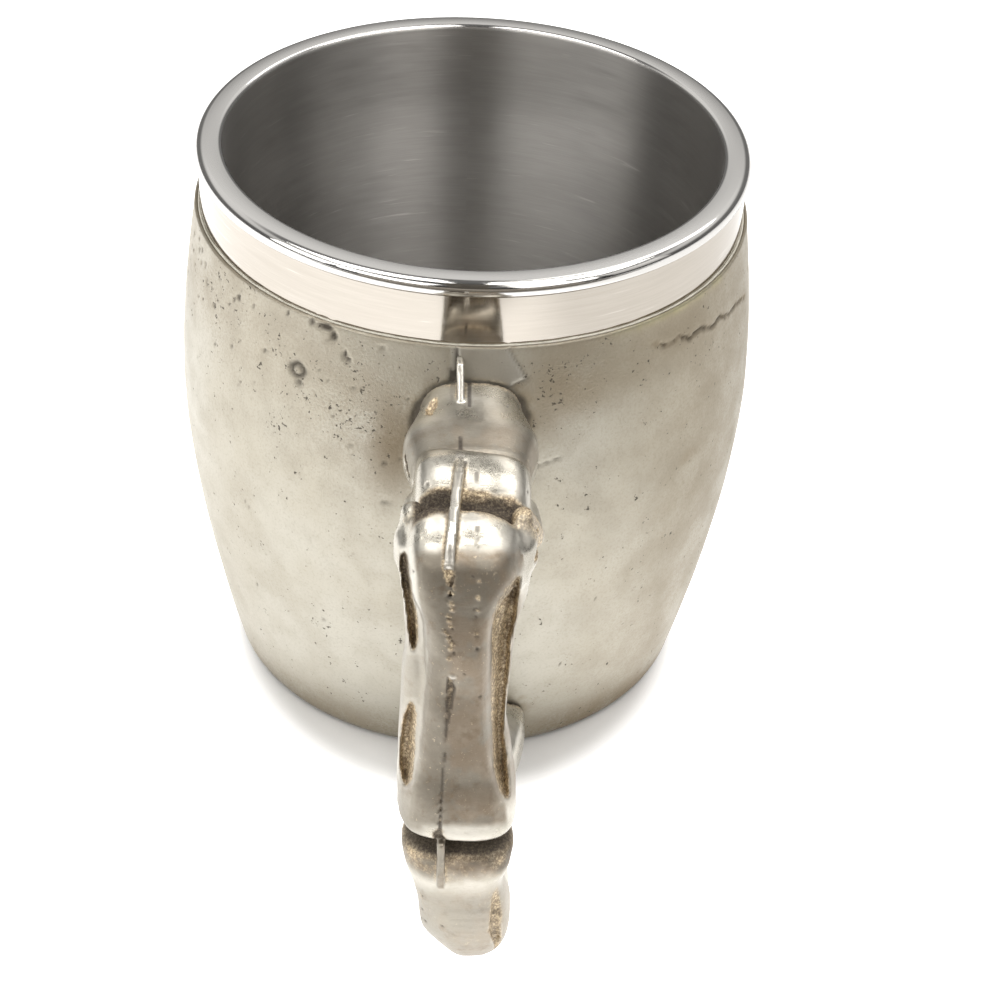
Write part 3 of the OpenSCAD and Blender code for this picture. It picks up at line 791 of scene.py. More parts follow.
# smooth filler over the upper end of the handle
poly = [(at_back(175.6), 82.8), (at_back(186.2), 82.8), (at_back(190.6), 77.4), (at_back(187), 76.2), (at_back(176.2), 75.8)]
inside_p = np.full(shape, 1e9)
for (x0, y0), (x1, y1) in zip(poly, poly[1:] + poly[:1]):
    ex, ey = x1 - x0, y1 - y0
    inside_p = np.minimum(inside_p, -((V - x0) * ey - (Zg - y0) * ex) / math.hypot(ex, ey))
if inside_p[(np.abs(V + 1.5) < 1.5) & (np.abs(Zg - 79.5) < 1.5)].max() < 0:
    inside_p = -inside_p
patch = ramp(inside_p + 0.25 * jit, -0.25, 0.45)
R = R + 0.10 * patch
R = R - 0.20 * bell((inside_p + 0.2 * jit) / 0.30)
grime = np.maximum(grime, 0.5 * bell((inside_p + 0.2 * jit) / 0.25) * (V < -2.5))
speck = speck * (1 - patch)

# crevice round the two ends of the handle, with brown left in it
for zc, hw, hh, xc in ((69.5, 8.6, 7.6, 0.0), (6.6, 9.2, 5.8, -2.4)):
    q = ((np.abs(V - xc) / hw) ** 2.4 + (np.abs(Zg - zc) / hh) ** 2.4) ** (1 / 2.4)
    edge_mm = (q - 1) * min(hw, hh)
    back_only = np.abs(V) < 40
    sides = back_only * ramp(np.abs(V - xc), 3.5, 7.0)
    R = R - 0.30 * bell((edge_mm + 0.2) / 0.6) * back_only
    grime = np.maximum(grime, 0.85 * (1 - ramp(edge_mm + 0.45 * jit, -0.3, 0.45)) * back_only * (0.35 + 0.65 * sides))
    brown = np.maximum(brown, 0.60 * (1 - ramp(edge_mm + 1.2 * jit, 0.0, 3.2)) * sides)
# slit and dirt beside the uppermost web
dw = seg_dist(V + 0.15 * jit2, Zg, [(2.6, 82.5), (2.5, 80.5), (2.35, 78.0)])
R = R - 0.35 * bell(dw / 0.28)
grime = np.maximum(grime, 0.95 * bell(dw / 0.34))
dw = np.hypot((V - 3.0) / 0.75, (Zg - 78.2) / 1.3) + 0.4 * jit2
grime = np.maximum(grime, 0.9 * (1 - ramp(dw, 0.6, 1.3)))
brown = np.maximum(brown, 0.9 * bell((V - at_back(166)) / 5.0) * bell((Zg - 66) / 9))
brown = np.maximum(brown, 0.42 * bell((V - at_back(160)) / 11.0) * bell((Zg - 70) / 11))
grime = np.maximum(grime, 0.20 * bell((V - at_back(166)) / 4.5) * bell((Zg - 66) / 8))
brown = np.maximum(brown, 0.45 * bell((V - at_back(193.5)) / 4.5) * bell((Zg - 72) / 8))
brown = np.maximum(brown, 0.55 * bell((V - at_back(228.7)) / 4.0) * bell((Zg - 55.4) / 2.4))
brown = np.maximum(brown, 0.40 * bell((V + 36) / 18.0) * bell((Zg - 79) / 8))
# painted shade high on the -X side of the back
painted_shade_upper_right = 0.9 * bell((V + 40) / 20.0) * ramp(Zg, 64, 78)
brown = np.maximum(brown, 0.50 * bell((V + 14) / 8.0) * bell((Zg - 75) / 6))
brown = np.maximum(brown, 0.22 * ramp(Zg, 62, 74) * ramp(np.abs(V), 8, 16))
brown = np.maximum(brown, 0.34 * ramp(-V, 12, 44) * (1 - ramp(-V, 60, 75)))
green = 0.9 * bell((Zg - 82.6) / 0.9) * ramp(-V, 18, 26) * (1 - ramp(-V, 44, 52)) * (0.6 + 0.4 * jit)

# painted shade: darker over the -X side of the back, most of all beside the handle's upper end
shade = 0.75 * ramp(-V, 8, 40) * (1 - ramp(-V, 58, 78)) * (0.75 + 0.25 * flat(fbm(P0, 14.0, 8)))
shade = np.maximum(shade, 0.8 * ramp(-V, 4, 12) * (1 - ramp(-V, 26, 44)) * ramp(Zg, 66, 76))

shade = np.maximum(shade, painted_shade_upper_right)

# ---- the face ----
front = 1 - ramp(U, 92, 104)
# wavy sutures: one across the cranium from side to side, one up the middle, one round each temple
for pts, depth in (([(-78, 66), (-62, 71.5), (-40, 74.0), (-18, 75.5), (0, 76.2), (18, 75.6), (40, 74.2), (62, 71.2), (78, 66)], 0.36),
                   ([(0, 76.2), (0.6, 79.5), (-0.3, 82.6)], 0.32),
                   ([(52, 38), (60, 46), (69, 52.5), (80, 55), (90, 52), (97, 46)], 0.32),
                   ([(-52, 38), (-60, 46), (-69, 52.5), (-80, 55), (-90, 52), (-97, 46)], 0.32)):
    su, sv = A * BELLY_R * math.pi / 180, Zg
    wig = 0.8 * np.sin(su * 2.3 + 1.6 * np.sin(su * 0.71)) + 0.45 * np.sin(su * 5.1 + sv * 1.3)
    wig2 = 0.8 * np.sin(sv * 2.3 + 1.1 * np.sin(sv * 0.9))
    pts = [(a * 0.8029, z) if abs(a) > 60 or True else (a, z) for a, z in pts]
    d = seg_dist(su + 0.5 * wig2, sv + 0.8 * wig, pts)
    ends = 1 - ramp(np.abs(su), 40, 58) if depth > 0.33 else (ramp(np.abs(su), 43, 50) * (1 - ramp(np.abs(su), 62, 74)) if abs(pts[0][0]) > 5 else 1.0)
    R = R - depth * bell(d / 0.36) * ends
    grime = np.maximum(grime, 0.72 * bell(d / 0.36) * ends)
# hairline cracks at the outer brow and the cheek
for pts in ([(34, 62), (37, 66.5), (35.5, 70), (39, 73)], [(-30, 20.5), (-33.5, 24), (-33, 26.5)], [(-12, 64), (-14, 67), (-12.5, 69.5), (-16, 72)]):
    d = seg_dist(A * 0.8029 + 0.3 * jit, Zg + 0.3 * jit2, pts)
    R = R - 0.26 * bell(d / 0.30)
    grime = np.maximum(grime, 0.7 * bell(d / 0.32))
# edges of the bone round the openings, partings between the teeth, biting edges
ro_edge = bell((sock - 0.22) / 0.16) * front
R = R + 0.25 * ro_edge * (1 - hole)
part = (1 - tt) * low * ramp(Zg, 0.8, 2.2) * (1 - ramp(Zg, 9.0, 15)) * (U < 27.0)
R = R - 0.80 * np.clip(part - 0.40, 0, 1) * front
R = R - 0.70 * (1 - ramp(Zg, 0.6, 2.0)) * low * (U < 27.2) * front
R = R - 0.60 * (1 - tt) * (1 - ramp(Zg, 1.2, 3.6)) * low * (U < 27.2) * front
R = R + 0.35 * tt * (bell((Zg - 4.6) / 2.2) - 0.9 * bell((Zg - 9.2) / 1.5)) * low * (U < 27.2) * front
gumline = bell((Zg - 11.0 - 1.1 * tt) / 0.8) * low * (U < 26.5)
R = R - 0.42 * gumline
groove = bell((tt - 0.1) / 0.35) * low * gum * (U < 27)
grime = np.maximum(grime, 0.8 * np.clip(part * 1.25 - 0.35, 0, 1))
grime = np.maximum(grime, 0.45 * gumline)
grime = np.maximum(grime, front * ramp(sock + 0.10 * jit, 0.30, 0.95) * 0.97)
grime = np.maximum(grime, front * ramp(hole + 0.10 * jit, 0.30, 0.85) * 0.97)
brown = np.maximum(brown, 0.75 * front * ramp(sock, 0.02, 0.45))
brown = np.maximum(brown, 0.75 * front * ramp(hole, 0.02, 0.45))
brown = np.maximum(brown, 0.8 * front * bell((U - 41) / 13) * bell((Zg - 13) / 9))
brown = np.maximum(brown, 0.55 * low * (1 - ramp(Zg, 8, 16)) * (1 - tt * 0.75))
brown = np.maximum(brown, 0.5 * bell((U - 54) / 9) * bell((Zg - 48) / 9))
# darkest under the brow and behind the cheekbone
grime = np.maximum(grime, 0.35 * front * bell((U - 47) / 9) * bell((Zg - 17) / 6))
brown = np.maximum(brown, (0.55 + 0.35 * ramp(-V, 5, 30) * (1 - ramp(-V, 60, 75))) * (1 - ramp(Zg, 1.0, 11.0)))
brown = np.maximum(brown, 0.35 * (1 - ramp(BODY_TOP - Zg, 0.3, 1.6)) * (0.5 + 0.5 * jit))

# the wall stays at least half a millimetre thick outside the cup
cup_r = np.where(Zg > SHOULDER_Z, BAND_R, np.where(Zg > NECK_Z, NECK_R + (BAND_R - NECK_R) * (Zg - NECK_Z) / (SHOULDER_Z - NECK_Z),
                 FOOT_R + (NECK_R - FOOT_R) * np.clip((Zg - FOOT_Z - 3) / (NECK_Z - FOOT_Z - 3), 0, 1)))
R = np.maximum(R, cup_r + BOND + 0.12)

ca, sa = np.sin(np.radians(cols)), -np.cos(np.radians(cols))
n = len(cols)
rings = [np.stack([R[j] * ca, R[j] * sa, np.full(n, rows[j])], 1) for j in range(len(rows))]
masks = {k: [v[j] for j in range(len(rows))] for k, v in
         dict(grime=grime, brown=brown, green=green, patch=patch, speck=speck, shade=shade).items()}


def add_ring(r, z, g=0.0, b=0.3):
    rings.append(np.stack([r * ca, r * sa, np.broadcast_to(z, (n,))], 1))
    for k, v in dict(grime=g, brown=b, green=0.0, patch=0.0, speck=0.0, shade=0.0).items():
        masks[k].append(np.full(n, v))


top_edge = R[-1]
rim_noise = 0.06 * noise(rings[-1], 2.0, 61)
add_ring(top_edge - 0.06, BODY_TOP - 0.12 + rim_noise * 0.5, 0.1, 0.4)
masks["green"][-1] = green[-1]
add_ring(top_edge - 0.22, BODY_TOP - 0.01 + rim_noise * 0.5, 0.2, 0.5)
masks["green"][-1] = green[-1]
add_ring(np.full(n, BAND_R + BOND), BODY_TOP - 0.02 + rim_noise * 0.5, 0.3, 0.5)
for r, z in ((BAND_R + BOND, SHOULDER_Z), (NECK_R + BOND, NECK_Z), (FOOT_R + BOND, FOOT_Z + 3), (FOOT_R - 0.6 + BOND, FOOT_Z + 0.6),
             (FOOT_R - 3, FOOT_Z - BOND)):
    add_ring(np.full(n, r), z)
top_inner = len(rings) - 1
quads = []
i = np.arange(n)
k = (i + 1) % n
for j in range(len(rings) - 1):
    quads.append(np.stack([j * n + i, j * n + k, (j + 1) * n + k, (j + 1) * n + i], 1))
# underside: lower edge in to the pad's recess, and the recess itself
first_under = len(rings)
for r, z in ((R[0] - 0.35, BODY_BOTTOM - 0.02), (np.full(n, 33.0), BODY_BOTTOM - 0.02), (np.full(n, PAD_R + 0.2), BODY_BOTTOM), (np.full(n, PAD_R + 0.2), PAD_T)):
    add_ring(r, z, 0.0, 0.5)
quads.append(np.stack([0 * n + k, 0 * n + i, first_under * n + i, first_under * n + k], 1))
for j in range(first_under, len(rings) - 1):
    quads.append(np.stack([j * n + k, j * n + i, (j + 1) * n + i, (j + 1) * n + k], 1))
verts = np.concatenate(rings + [np.array([[0, 0, FOOT_Z - BOND], [0, 0, PAD_T]])])
c_in, c_under = len(verts) - 2, len(verts) - 1
last = len(rings) - 1
tris = [np.stack([top_inner * n + i, top_inner * n + k, np.full(n, c_in)], 1),
        np.stack([last * n + k, last * n + i, np.full(n, c_under)], 1)]
attrs = {key: np.concatenate(v + [np.zeros(2)]) for key, v in masks.items()}
casting = outward(make_mesh("skull_casting", verts, np.concatenate(quads), np.concatenate(tris), attrs))
casting.data.materials.append(m_body)
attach(casting, "root"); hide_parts("skull_body")

# ---------------------------------------------------------------------------------------------------------------------
# Finger handle: a field of distances on a grid, skinned by surface nets
# ---------------------------------------------------------------------------------------------------------------------
ROOT_Z, KNUCKLE_Y, HEEL_Y, HEEL_Z, BEND1, BEND2 = 69.5, 75.5, 83.6, 7.6, 7.0, 6.0
down = math.atan2(HEEL_Y - KNUCKLE_Y, ROOT_Z - HEEL_Z)
DV = np.array([math.sin(down), -math.cos(down)])          # along the middle bone, downwards
NV = np.array([math.cos(down), math.sin(down)])           # out of its back
H = 0.312
gx = np.arange(-13.0, 13.01, H)
gy = np.arange(35.8, 91.0, H)
gz = np.arange(-0.6, 83.2, H)
Xg = gx[:, None, None].astype(np.float32)
Y2, Z2 = np.meshgrid(gy, gz, indexing="ij")


def mid_point(d, nrm=0.0):
    """(y, z) at distance d down the middle bone and nrm out of its back."""
    return np.array([KNUCKLE_Y, ROOT_Z]) + d * DV + nrm * NV


def bone(S, N, stations, c0, c1, p=2.4, dip=0.0, dip_at=None, slant=0.0, roll=False):
    st = np.array(stations, float)
    s0, s1 = st[0, 0], st[-1, 0]
    Sc = np.clip(S, s0, s1)
    c, w, o, q = (curve(Sc, st[:, 0], st[:, j]) for j in (1, 2, 3, 4))
    h = np.where(N >= 0, o, q)
    c, w, h, n_ = (a.astype(np.float32)[None] for a in (c, w, h, np.abs(N)))
    Sx = S.astype(np.float32)[None] + np.float32(slant) * Xg
    e = np.maximum(0, np.maximum((s0 - Sx) / np.float32(c0), (Sx - s1) / np.float32(c1)))
    x = np.abs(Xg - c)
    if roll:                                               # round along the bone, flat across it
        f = ((x / w) ** p + ((n_ / h) ** 2 + e ** 2) ** (p / 2)) ** (1 / p)
    else:
        f = ((x / w) ** p + (n_ / h) ** p + e ** p) ** (1 / p)
    out = (f - 1) * np.minimum(w, h) * 0.85
    if dip:
        g = bell((S - dip_at[0]) / dip_at[1]).astype(np.float32)[None] * (N > 0)[None]
        out = out + dip * g * np.exp(-((Xg - c) / 2.0) ** 2)
    return out


# lower bone: its axis runs on down, round the bend, and in along the table
turn2 = math.pi / 2 + down
cut2 = BEND2 * math.tan(turn2 / 2)
heel = np.array([HEEL_Y, HEEL_Z])
D_START = 45.0
p_start = mid_point(D_START)
p_bend = heel - cut2 * DV
len_a = float(np.linalg.norm(p_bend - p_start))
len_b = BEND2 * turn2
centre = p_bend - BEND2 * NV
path, tang = [], []
for s in np.arange(-4.0, len_a, 0.25):
    path.append(p_start + s * DV); tang.append(DV)
a0 = math.atan2(NV[1], NV[0])
for s in np.arange(0, len_b, 0.2):
    a = a0 - s / BEND2
    path.append(centre + BEND2 * np.array([math.cos(a), math.sin(a)]))
    tang.append(np.array([math.sin(a), -math.cos(a)]))
len_c = HEEL_Y - cut2 - 36.0
for s in np.arange(0, len_c, 0.25):
    path.append(np.array([HEEL_Y - cut2 - s, HEEL_Z])); tang.append(np.array([-1.0, 0.0]))
path, tang = np.array(path), np.array(tang)
along = np.concatenate([[0], np.cumsum(np.linalg.norm(np.diff(path, axis=0), axis=1))]) - 4.0
pts2 = np.stack([Y2.ravel(), Z2.ravel()], 1)
near = np.empty(len(pts2), int)
for a in range(0, len(pts2), 8000):
    near[a:a + 8000] = ((pts2[a:a + 8000, None, :] - path[None]) ** 2).sum(-1).argmin(1)
dvec = pts2 - path[near]
tn = tang[near]
S3 = (along[near] + (dvec * tn).sum(1)).reshape(Y2.shape)
N3 = (dvec[:, 0] * -tn[:, 1] + dvec[:, 1] * tn[:, 0]).reshape(Y2.shape)      # out of the back of the bone

# upper bone, straight out of the body
S1, N1 = Y2, Z2 - ROOT_Z
# middle bone
S2 = (Y2 - KNUCKLE_Y) * DV[0] + (Z2 - ROOT_Z) * DV[1]
N2 = (Y2 - KNUCKLE_Y) * NV[0] + (Z2 - ROOT_Z) * NV[1]

#          station  centre  half-width  back  belly
bell_st = [(41.0, 0.0, 7.6, 7.7, 6.4), (46.0, 0.0, 7.8, 7.6, 6.5), (49.0, 0.0, 8.9, 7.1, 6.5), (51.5, 0.0, 9.75, 6.8, 6.4), (54.0, 0.0, 9.3, 6.5, 6.2), (57.0, 0.0, 8.5, 5.9, 5.9)]
neck_st = [(50.0, 0.0, 7.6, 5.0, 5.4), (56.0, 0.0, 7.2, 5.0, 5.2), (64.0, 0.0, 7.2, 5.4, 5.2)]
cond_st = [(60.6, -0.1, 8.1, 7.1, 6.4), (61.0, -0.1, 8.2, 7.2, 6.6)]
head_st = [(2.5, 0.8, 8.1, 10.0, 10.0), (3.6, 0.85, 7.4, 9.98, 10.0), (6.5, 1.3, 5.0, 9.85, 10.0), (10.5, 1.5, 4.0, 9.64, 10.0)]
beam_st = [(-1.0, 1.2, 5.8, 6.5, 5.0), (3.0, 1.6, 4.9, 6.45, 5.0), (8.0, 1.55, 4.4, 6.3, 4.8), (14.0, 1.45, 4.45, 6.1, 4.6), (22.0, 1.5, 4.8, 6.0, 4.6),
           (30.0, 1.35, 5.5, 6.1, 4.8), (36.0, 1.0, 6.6, 6.6, 5.2), (41.0, 0.7, 7.7, 6.9, 5.4)]
flange_st = [(-1.0, 0.9, 9.1, 4.2, 3.6), (3.5, 0.8, 8.9, 4.5, 3.8), (6.8, 0.87, 8.3, 4.6, 3.8), (9.0, 1.12, 7.9, 4.7, 3.7), (13.3, 1.22, 7.5, 4.8, 3.7), (17.5, 1.5, 7.6, 4.9, 3.7),
             (22.0, 1.68, 7.5, 4.8, 3.7), (26.0, 1.75, 7.55, 4.7, 3.7), (30.3, 1.4, 8.0, 4.8, 3.8), (34.5, 1.1, 8.2, 5.0, 4.0), (41.0, 0.75, 7.95, 5.2, 4.2)]
foot_st = [(38.5, 0.75, 7.9, 6.8, 5.6), (41.4, 0.7, 8.0, 6.9, 5.6)]
tip_st = [(1.8, 0.45, 8.1, 6.6, 5.6), (4.2, 0.40, 7.7, 6.7, 5.8), (8.0, 0.25, 6.6, 6.2, 5.6), (11.0, -0.5, 6.6, 6.3, 5.5),
          (14.0, -1.0, 6.7, 7.6, 5.3), (16.5, -1.2, 6.6, 8.2, 5.2), (19.0, -1.3, 6.4, 7.2, 5.0), (23.0, -1.4, 6.3, 6.2, 5.0), (27.0, -1.5, 5.8, 5.5, 4.6), (33.0, -1.7, 5.4, 5.2, 4.2),
          (40.0, -1.9, 5.8, 5.1, 4.2), (46.0, -2.2, 6.8, 5.3, 4.5), (50.0, -2.3, 7.9, 5.7, 5.1), (54.0, -2.4, 8.5, 5.9, 5.2), (61.0, -2.4, 8.3, 5.9, 4.9)]

f = bone(S1, N1, bell_st, 4.0, 2.4, 2.9)
f = smin(f, bone(S1, N1, neck_st, 3.0, 3.0, 2.3), 1.0)
f = smin(f, bone(S1, N1, cond_st, 2.8, 8.2, 4.0, 0.12, (65.0, 4.0), 0.16, True), 0.5)
middle = bone(S2, N2 + 3.4, head_st, 10.0, 6.0, 4.0, 0.08, (-4.5, 5.0), 0.15, True)
middle = smax(middle, (-1.3 - N2)[None].astype(np.float32), 1.2)
middle = smin(middle, bone(S2, N2, beam_st, 3.0, 2.0, 3.4), 2.2)
middle = smin(middle, bone(S2, N2 + 1.4, flange_st, 2.6, 2.6, 3.2), 0.7)
middle = smin(middle, bone(S2, N2, foot_st, 7.0, 2.2, 2.6, 0.0, None, 0.10), 1.2)
tip = bone(S3, N3, tip_st, 2.4, 3.0, 2.9, 0.35, (2.0, 3.5))
bevel = 0.62 * (Xg - 3.2) + (0.78 * (N3 - 5.7) - 3.0 * (1 - ramp(S3, 7.0, 12.0)) - 3.0 * ramp(S3, 20.0, 26.0))[None]
tip = smax(tip, bevel.astype(np.float32), 0.8)
f = smin(f, middle, 0.5)
f = smin(f, tip, 0.5)

# packed core that closes the joints deep down
core = np.minimum(np.hypot(S2 - np.clip(S2, -3, 50), N2 + 0.6), np.hypot(S1 - np.clip(S1, 44, 76), N1 + 0.6))
core = np.hypot(core, 0)[None].astype(np.float32)
f = smin(f, np.sqrt(core ** 2 + (Xg * 0.75) ** 2) - 3.7, 0.8)


pack = ((np.abs(Xg - 0.3) / 8.2) ** 2.6 + ((np.abs(Y2 - 71.4) / 6.4) ** 2.6 + (np.abs(Z2 - 68.0) / 5.2) ** 2.6)[None]) ** (1 / 2.6)
f = smin(f, ((pack - 1) * 4.4).astype(np.float32), 0.6)


def box_of(lo, hi):
    s = []
    for g, a, b in zip((gx, gy, gz), lo, hi):
        i0, i1 = int(np.searchsorted(g, a)), int(np.searchsorted(g, b))
        s.append(slice(max(0, i0 - 1), min(len(g), i1 + 1)))
    return tuple(s)


def capsules(pts, pad=2.0):
    """(slices, distance) of a chain of round-ended cones through (x, y, z, radius)."""
    pts = np.array(pts, float)
    lo = (pts[:, :3] - pts[:, 3:]).min(0) - pad
    hi = (pts[:, :3] + pts[:, 3:]).max(0) + pad
    sl = box_of(lo, hi)
    X, Y, Z = np.meshgrid(gx[sl[0]], gy[sl[1]], gz[sl[2]], indexing="ij")
    d = None
    for a, b in zip(pts[:-1], pts[1:]):
        v = b[:3] - a[:3]
        t = np.clip(((X - a[0]) * v[0] + (Y - a[1]) * v[1] + (Z - a[2]) * v[2]) / max(1e-9, v @ v), 0, 1)
        e = np.sqrt((X - a[0] - t * v[0]) ** 2 + (Y - a[1] - t * v[1]) ** 2 + (Z - a[2] - t * v[2]) ** 2) - (a[3] + t * (b[3] - a[3]))
        d = e if d is None else np.minimum(d, e)
    return sl, d


def chain_dist(p, pts):
    pts = np.array(pts, float)
    d = np.full(len(p), 1e9)
    for a, b in zip(pts[:-1], pts[1:]):
        v = b[:3] - a[:3]
        t = np.clip(((p - a[:3]) @ v) / max(1e-9, v @ v), 0, 1)
        d = np.minimum(d, np.linalg.norm(p - a[:3] - t[:, None] * v, axis=1) - (a[3] + t * (b[3] - a[3])))
    return d


def m2(d, nrm, x, r):
    y, z = mid_point(d, nrm)
    return (x, y, z, r)


def m3(s, nrm, x, r):
    j = int(np.argmin(np.abs(along - s)))
    t = tang[j]
    q = path[j] + nrm * np.array([-t[1], t[0]])
    return (x, q[0], q[1], r)


# side plates of the upper joint
plates = [[(8.2, 60.5, 67.0, 1.2), (8.4, 66.5, 66.5, 1.5), m2(-5.0, -3.6, 8.2, 1.6), m2(0.0, -1.6, 8.4, 1.5)],
          [(-8.2, 61.0, 67.0, 1.2), (-8.6, 67.5, 67.6, 1.6), m2(-5.0, -3.3, -6.9, 1.4), m2(0.0, -1.6, -7.2, 1.3)]]
for pl in plates:
    sl, d = capsules(pl)
    f[sl] = smin(f[sl], d.astype(np.float32), 1.9)

# long hollows beside the flat of the middle bone: distance down the bone, and the hollow's two edges across it
D2 = S2 + (N2 - 6.3) * 0.625
trenches = [
    ([(-4.9, 9.0, 9.2), (-4.3, 8.75, 9.6), (-3.2, 8.6, 9.7), (-0.6, 8.2, 9.4), (2.1, 7.8, 8.95), (4.7, 7.2, 8.55), (6.8, 7.0, 8.35), (8.9, 6.9, 8.1), (10.8, 7.3, 7.7)], 1.2),
    ([(19.3, 7.5, 7.8), (20.0, 7.1, 8.15), (21.7, 6.85, 8.65), (23.8, 6.95, 8.9), (26.0, 6.95, 9.0), (28.1, 6.9, 9.1), (30.2, 7.0, 9.1), (32.3, 7.25, 8.75), (33.6, 7.9, 8.3)], 0.8),
    ([(-1.4, -6.6, -6.0), (0.45, -6.6, -4.6), (2.5, -6.5, -3.6), (4.7, -6.4, -2.95), (8.9, -5.75, -3.0), (13.2, -5.7, -3.25), (17.5, -5.55, -3.35), (21.7, -5.4, -3.55),
      (24.3, -5.45, -3.8), (26.0, -5.75, -4.0), (28.1, -6.0, -4.0), (30.2, -6.2, -4.15), (32.3, -6.45, -4.6), (34.4, -6.6, -5.25), (35.4, -6.5, -5.9)], 0.9),
]


def in_trench(table, xx, dd):
    """How far inside the hollow's outline, mm."""
    q = np.array(table)
    lo, hi = np.interp(dd, q[:, 0], q[:, 1]), np.interp(dd, q[:, 0], q[:, 2])
    ends = np.minimum(dd - q[0, 0], q[-1, 0] - dd)
    return np.minimum(np.minimum(xx - lo, hi - xx), ends)


for table, depth in trenches:
    m = in_trench(table, Xg.astype(np.float64), D2[None])
    f += (depth * ramp(m, -0.2, 0.8) * ramp(N2, -1.5, 0.5)[None]).astype(np.float32)

# smaller hollows
grooves = [
    ([m3(6.5, 4.8, -6.6, 0.4), m3(9.5, 5.2, -5.7, 0.95), m3(12.5, 6.0, -5.5, 0.95), m3(15.5, 6.6, -5.8, 0.4)], 0.8),
    ([m3(7.0, 4.6, 6.9, 0.3), m3(10.0, 4.9, 6.0, 0.6), m3(13.5, 5.4, 5.0, 0.3)], 0.6),
    # bellies of the bones, turned towards the body
    ([m2(8.0, -5.6, 2.6, 0.5), m2(16.0, -5.4, 2.4, 1.0), m2(26.0, -5.3, 2.2, 1.0), m2(36.0, -5.8, 2.4, 0.5)], 0.4),
    ([(-1.0, 50.0, 62.6, 0.5), (-0.6, 56.0, 63.6, 1.2), (-0.8, 60.0, 63.8, 0.6)], 0.4),
    ([m3(28.0, -4.9, -5.4, 0.4), m3(36.0, -4.6, -4.6, 0.9), m3(46.0, -4.4, -5.6, 0.5)], 0.4),
    ([m3(28.0, -4.9, 2.4, 0.4), m3(36.0, -4.6, 1.2, 0.9), m3(46.0, -4.4, 1.2, 0.5)], 0.4),
]
for g, _ in grooves:
    sl, d = capsules(g)
    f[sl] = smax(f[sl], -d.astype(np.float32), 0.35)
pits = [
    ([(8.9, 52.6, 70.6, 0.35), (8.7, 54.2, 69.6, 0.8), (8.4, 55.4, 68.8, 0.5)], "dark"),
    ([(5.4, 47.0, 75.9, 0.4), (5.8, 48.6, 75.5, 0.75), (5.9, 50.4, 75.0, 0.45)], "gold"),
    ([(8.9, 67.0, 69.6, 0.5), (9.0, 69.5, 69.4, 0.9), (8.9, 71.5, 68.6, 0.5)], "dark"),
    ([(-8.9, 71.0, 71.2, 0.5), (-9.0, 73.0, 70.6, 0.8), (-8.8, 75.0, 69.6, 0.5)], "gold"),
    ([m2(-3.4, 6.5, 3.6, 0.3), m2(-2.2, 7.0, 3.2, 0.45), m2(-0.8, 7.1, 3.0, 0.3)], "gold"),
    ([m2(40.6, 7.1, 3.25, 0.30), m2(41.2, 7.1, 3.5, 0.52), m2(41.9, 7.0, 3.2, 0.66), m2(42.9, 6.6, 2.8, 0.75)], "dark"),
]
for g, _ in pits:
    sl, d = capsules(g)
    f[sl] = smax(f[sl], -d.astype(np.float32), 0.3)


def web(corners, x0, x1, thick):
    """A thin web in the parting plane that fills the convex polygon of (y, z) corners; x drifts from x0 to x1 over it."""
    c = np.array(corners, float)
    sl = box_of((min(x0, x1) - 3, *(c.min(0) - 1.5)), (max(x0, x1) + 3, *(c.max(0) + 1.5)))
    X, Y, Z = np.meshgrid(gx[sl[0]], gy[sl[1]], gz[sl[2]], indexing="ij")
    mid = c.mean(0)
    d = np.full(Y.shape, -1e9)
    for a, b in zip(c, np.roll(c, -1, axis=0)):
        e = b - a
        nn = np.array([e[1], -e[0]]) / np.linalg.norm(e)
        if (mid - a) @ nn > 0:
            nn = -nn
        d = np.maximum(d, (Y - a[0]) * nn[0] + (Z - a[1]) * nn[1])
    v = c[np.linalg.norm(c - c[0], axis=1).argmax()] - c[0]
    t = np.clip(((Y - c[0][0]) * v[0] + (Z - c[0][1]) * v[1]) / (v @ v), 0, 1)
    return sl, np.maximum(np.abs(X - (x0 + (x1 - x0) * t)) - thick / 2, d)


webs = [
    ([(42.4, 81.4), (42.4, 73.0), (48.4, 73.0), (48.4, 76.9), (45.2, 81.0)], 1.95, 1.45, 1.05),
    ([(61.0, 76.4), (63.0, 70.0), (78.0, 70.0), (81.9, 73.2), (80.4, 75.8), (77.0, 77.2), (70.0, 77.7), (65.0, 77.3)], 1.6, 3.2, 1.3),
    ([mid_point(42.6, 7.5), mid_point(43.2, 2.0), mid_point(51.5, 2.0), mid_point(51.0, 6.6), mid_point(48.5, 7.5)], 2.95, 2.75, 1.1),
]
for c, x0, x1, th in webs:
    sl, d = web(c, x0, x1, th)
    f[sl] = smin(f[sl], d.astype(np.float32), 0.22)

# the parting line down the back of the middle bone, a chip in it, and the notch at the heel
line = [m2(-1.0, 6.9, 2.8, 0.26), m2(6.0, 6.75, 2.75, 0.22), m2(14.0, 6.05, 2.55, 0.22)]
line2 = [m2(15.0, 6.15, 2.55, 0.22), m2(17.0, 6.15, 2.35, 0.60), m2(20.5, 6.15, 2.55, 0.48), m2(23.0, 6.05, 2.75, 0.22), m2(28.5, 6.1, 2.85, 0.14), m2(32.0, 6.3, 3.05, 0.16), m2(40.5, 7.0, 3.15, 0.18)]
notch = [m3(16.8, 6.2, 0.6, 0.5), m3(19.5, 6.2, 0.3, 0.5)]
for g in (line, line2, notch):
    sl, d = capsules(g)
    f[sl] = smax(f[sl], -d.astype(np.float32), 0.15)

# the two ends fit against the casting
body_d = (np.hypot(Xg, Y2[None]) - barrel(np.clip(gz, 0.3, BODY_TOP))[None, None, :] - 0.10).astype(np.float32)
f = np.maximum(f, -body_d)
f = np.maximum(f, (0.35 - Z2)[None].astype(np.float32))


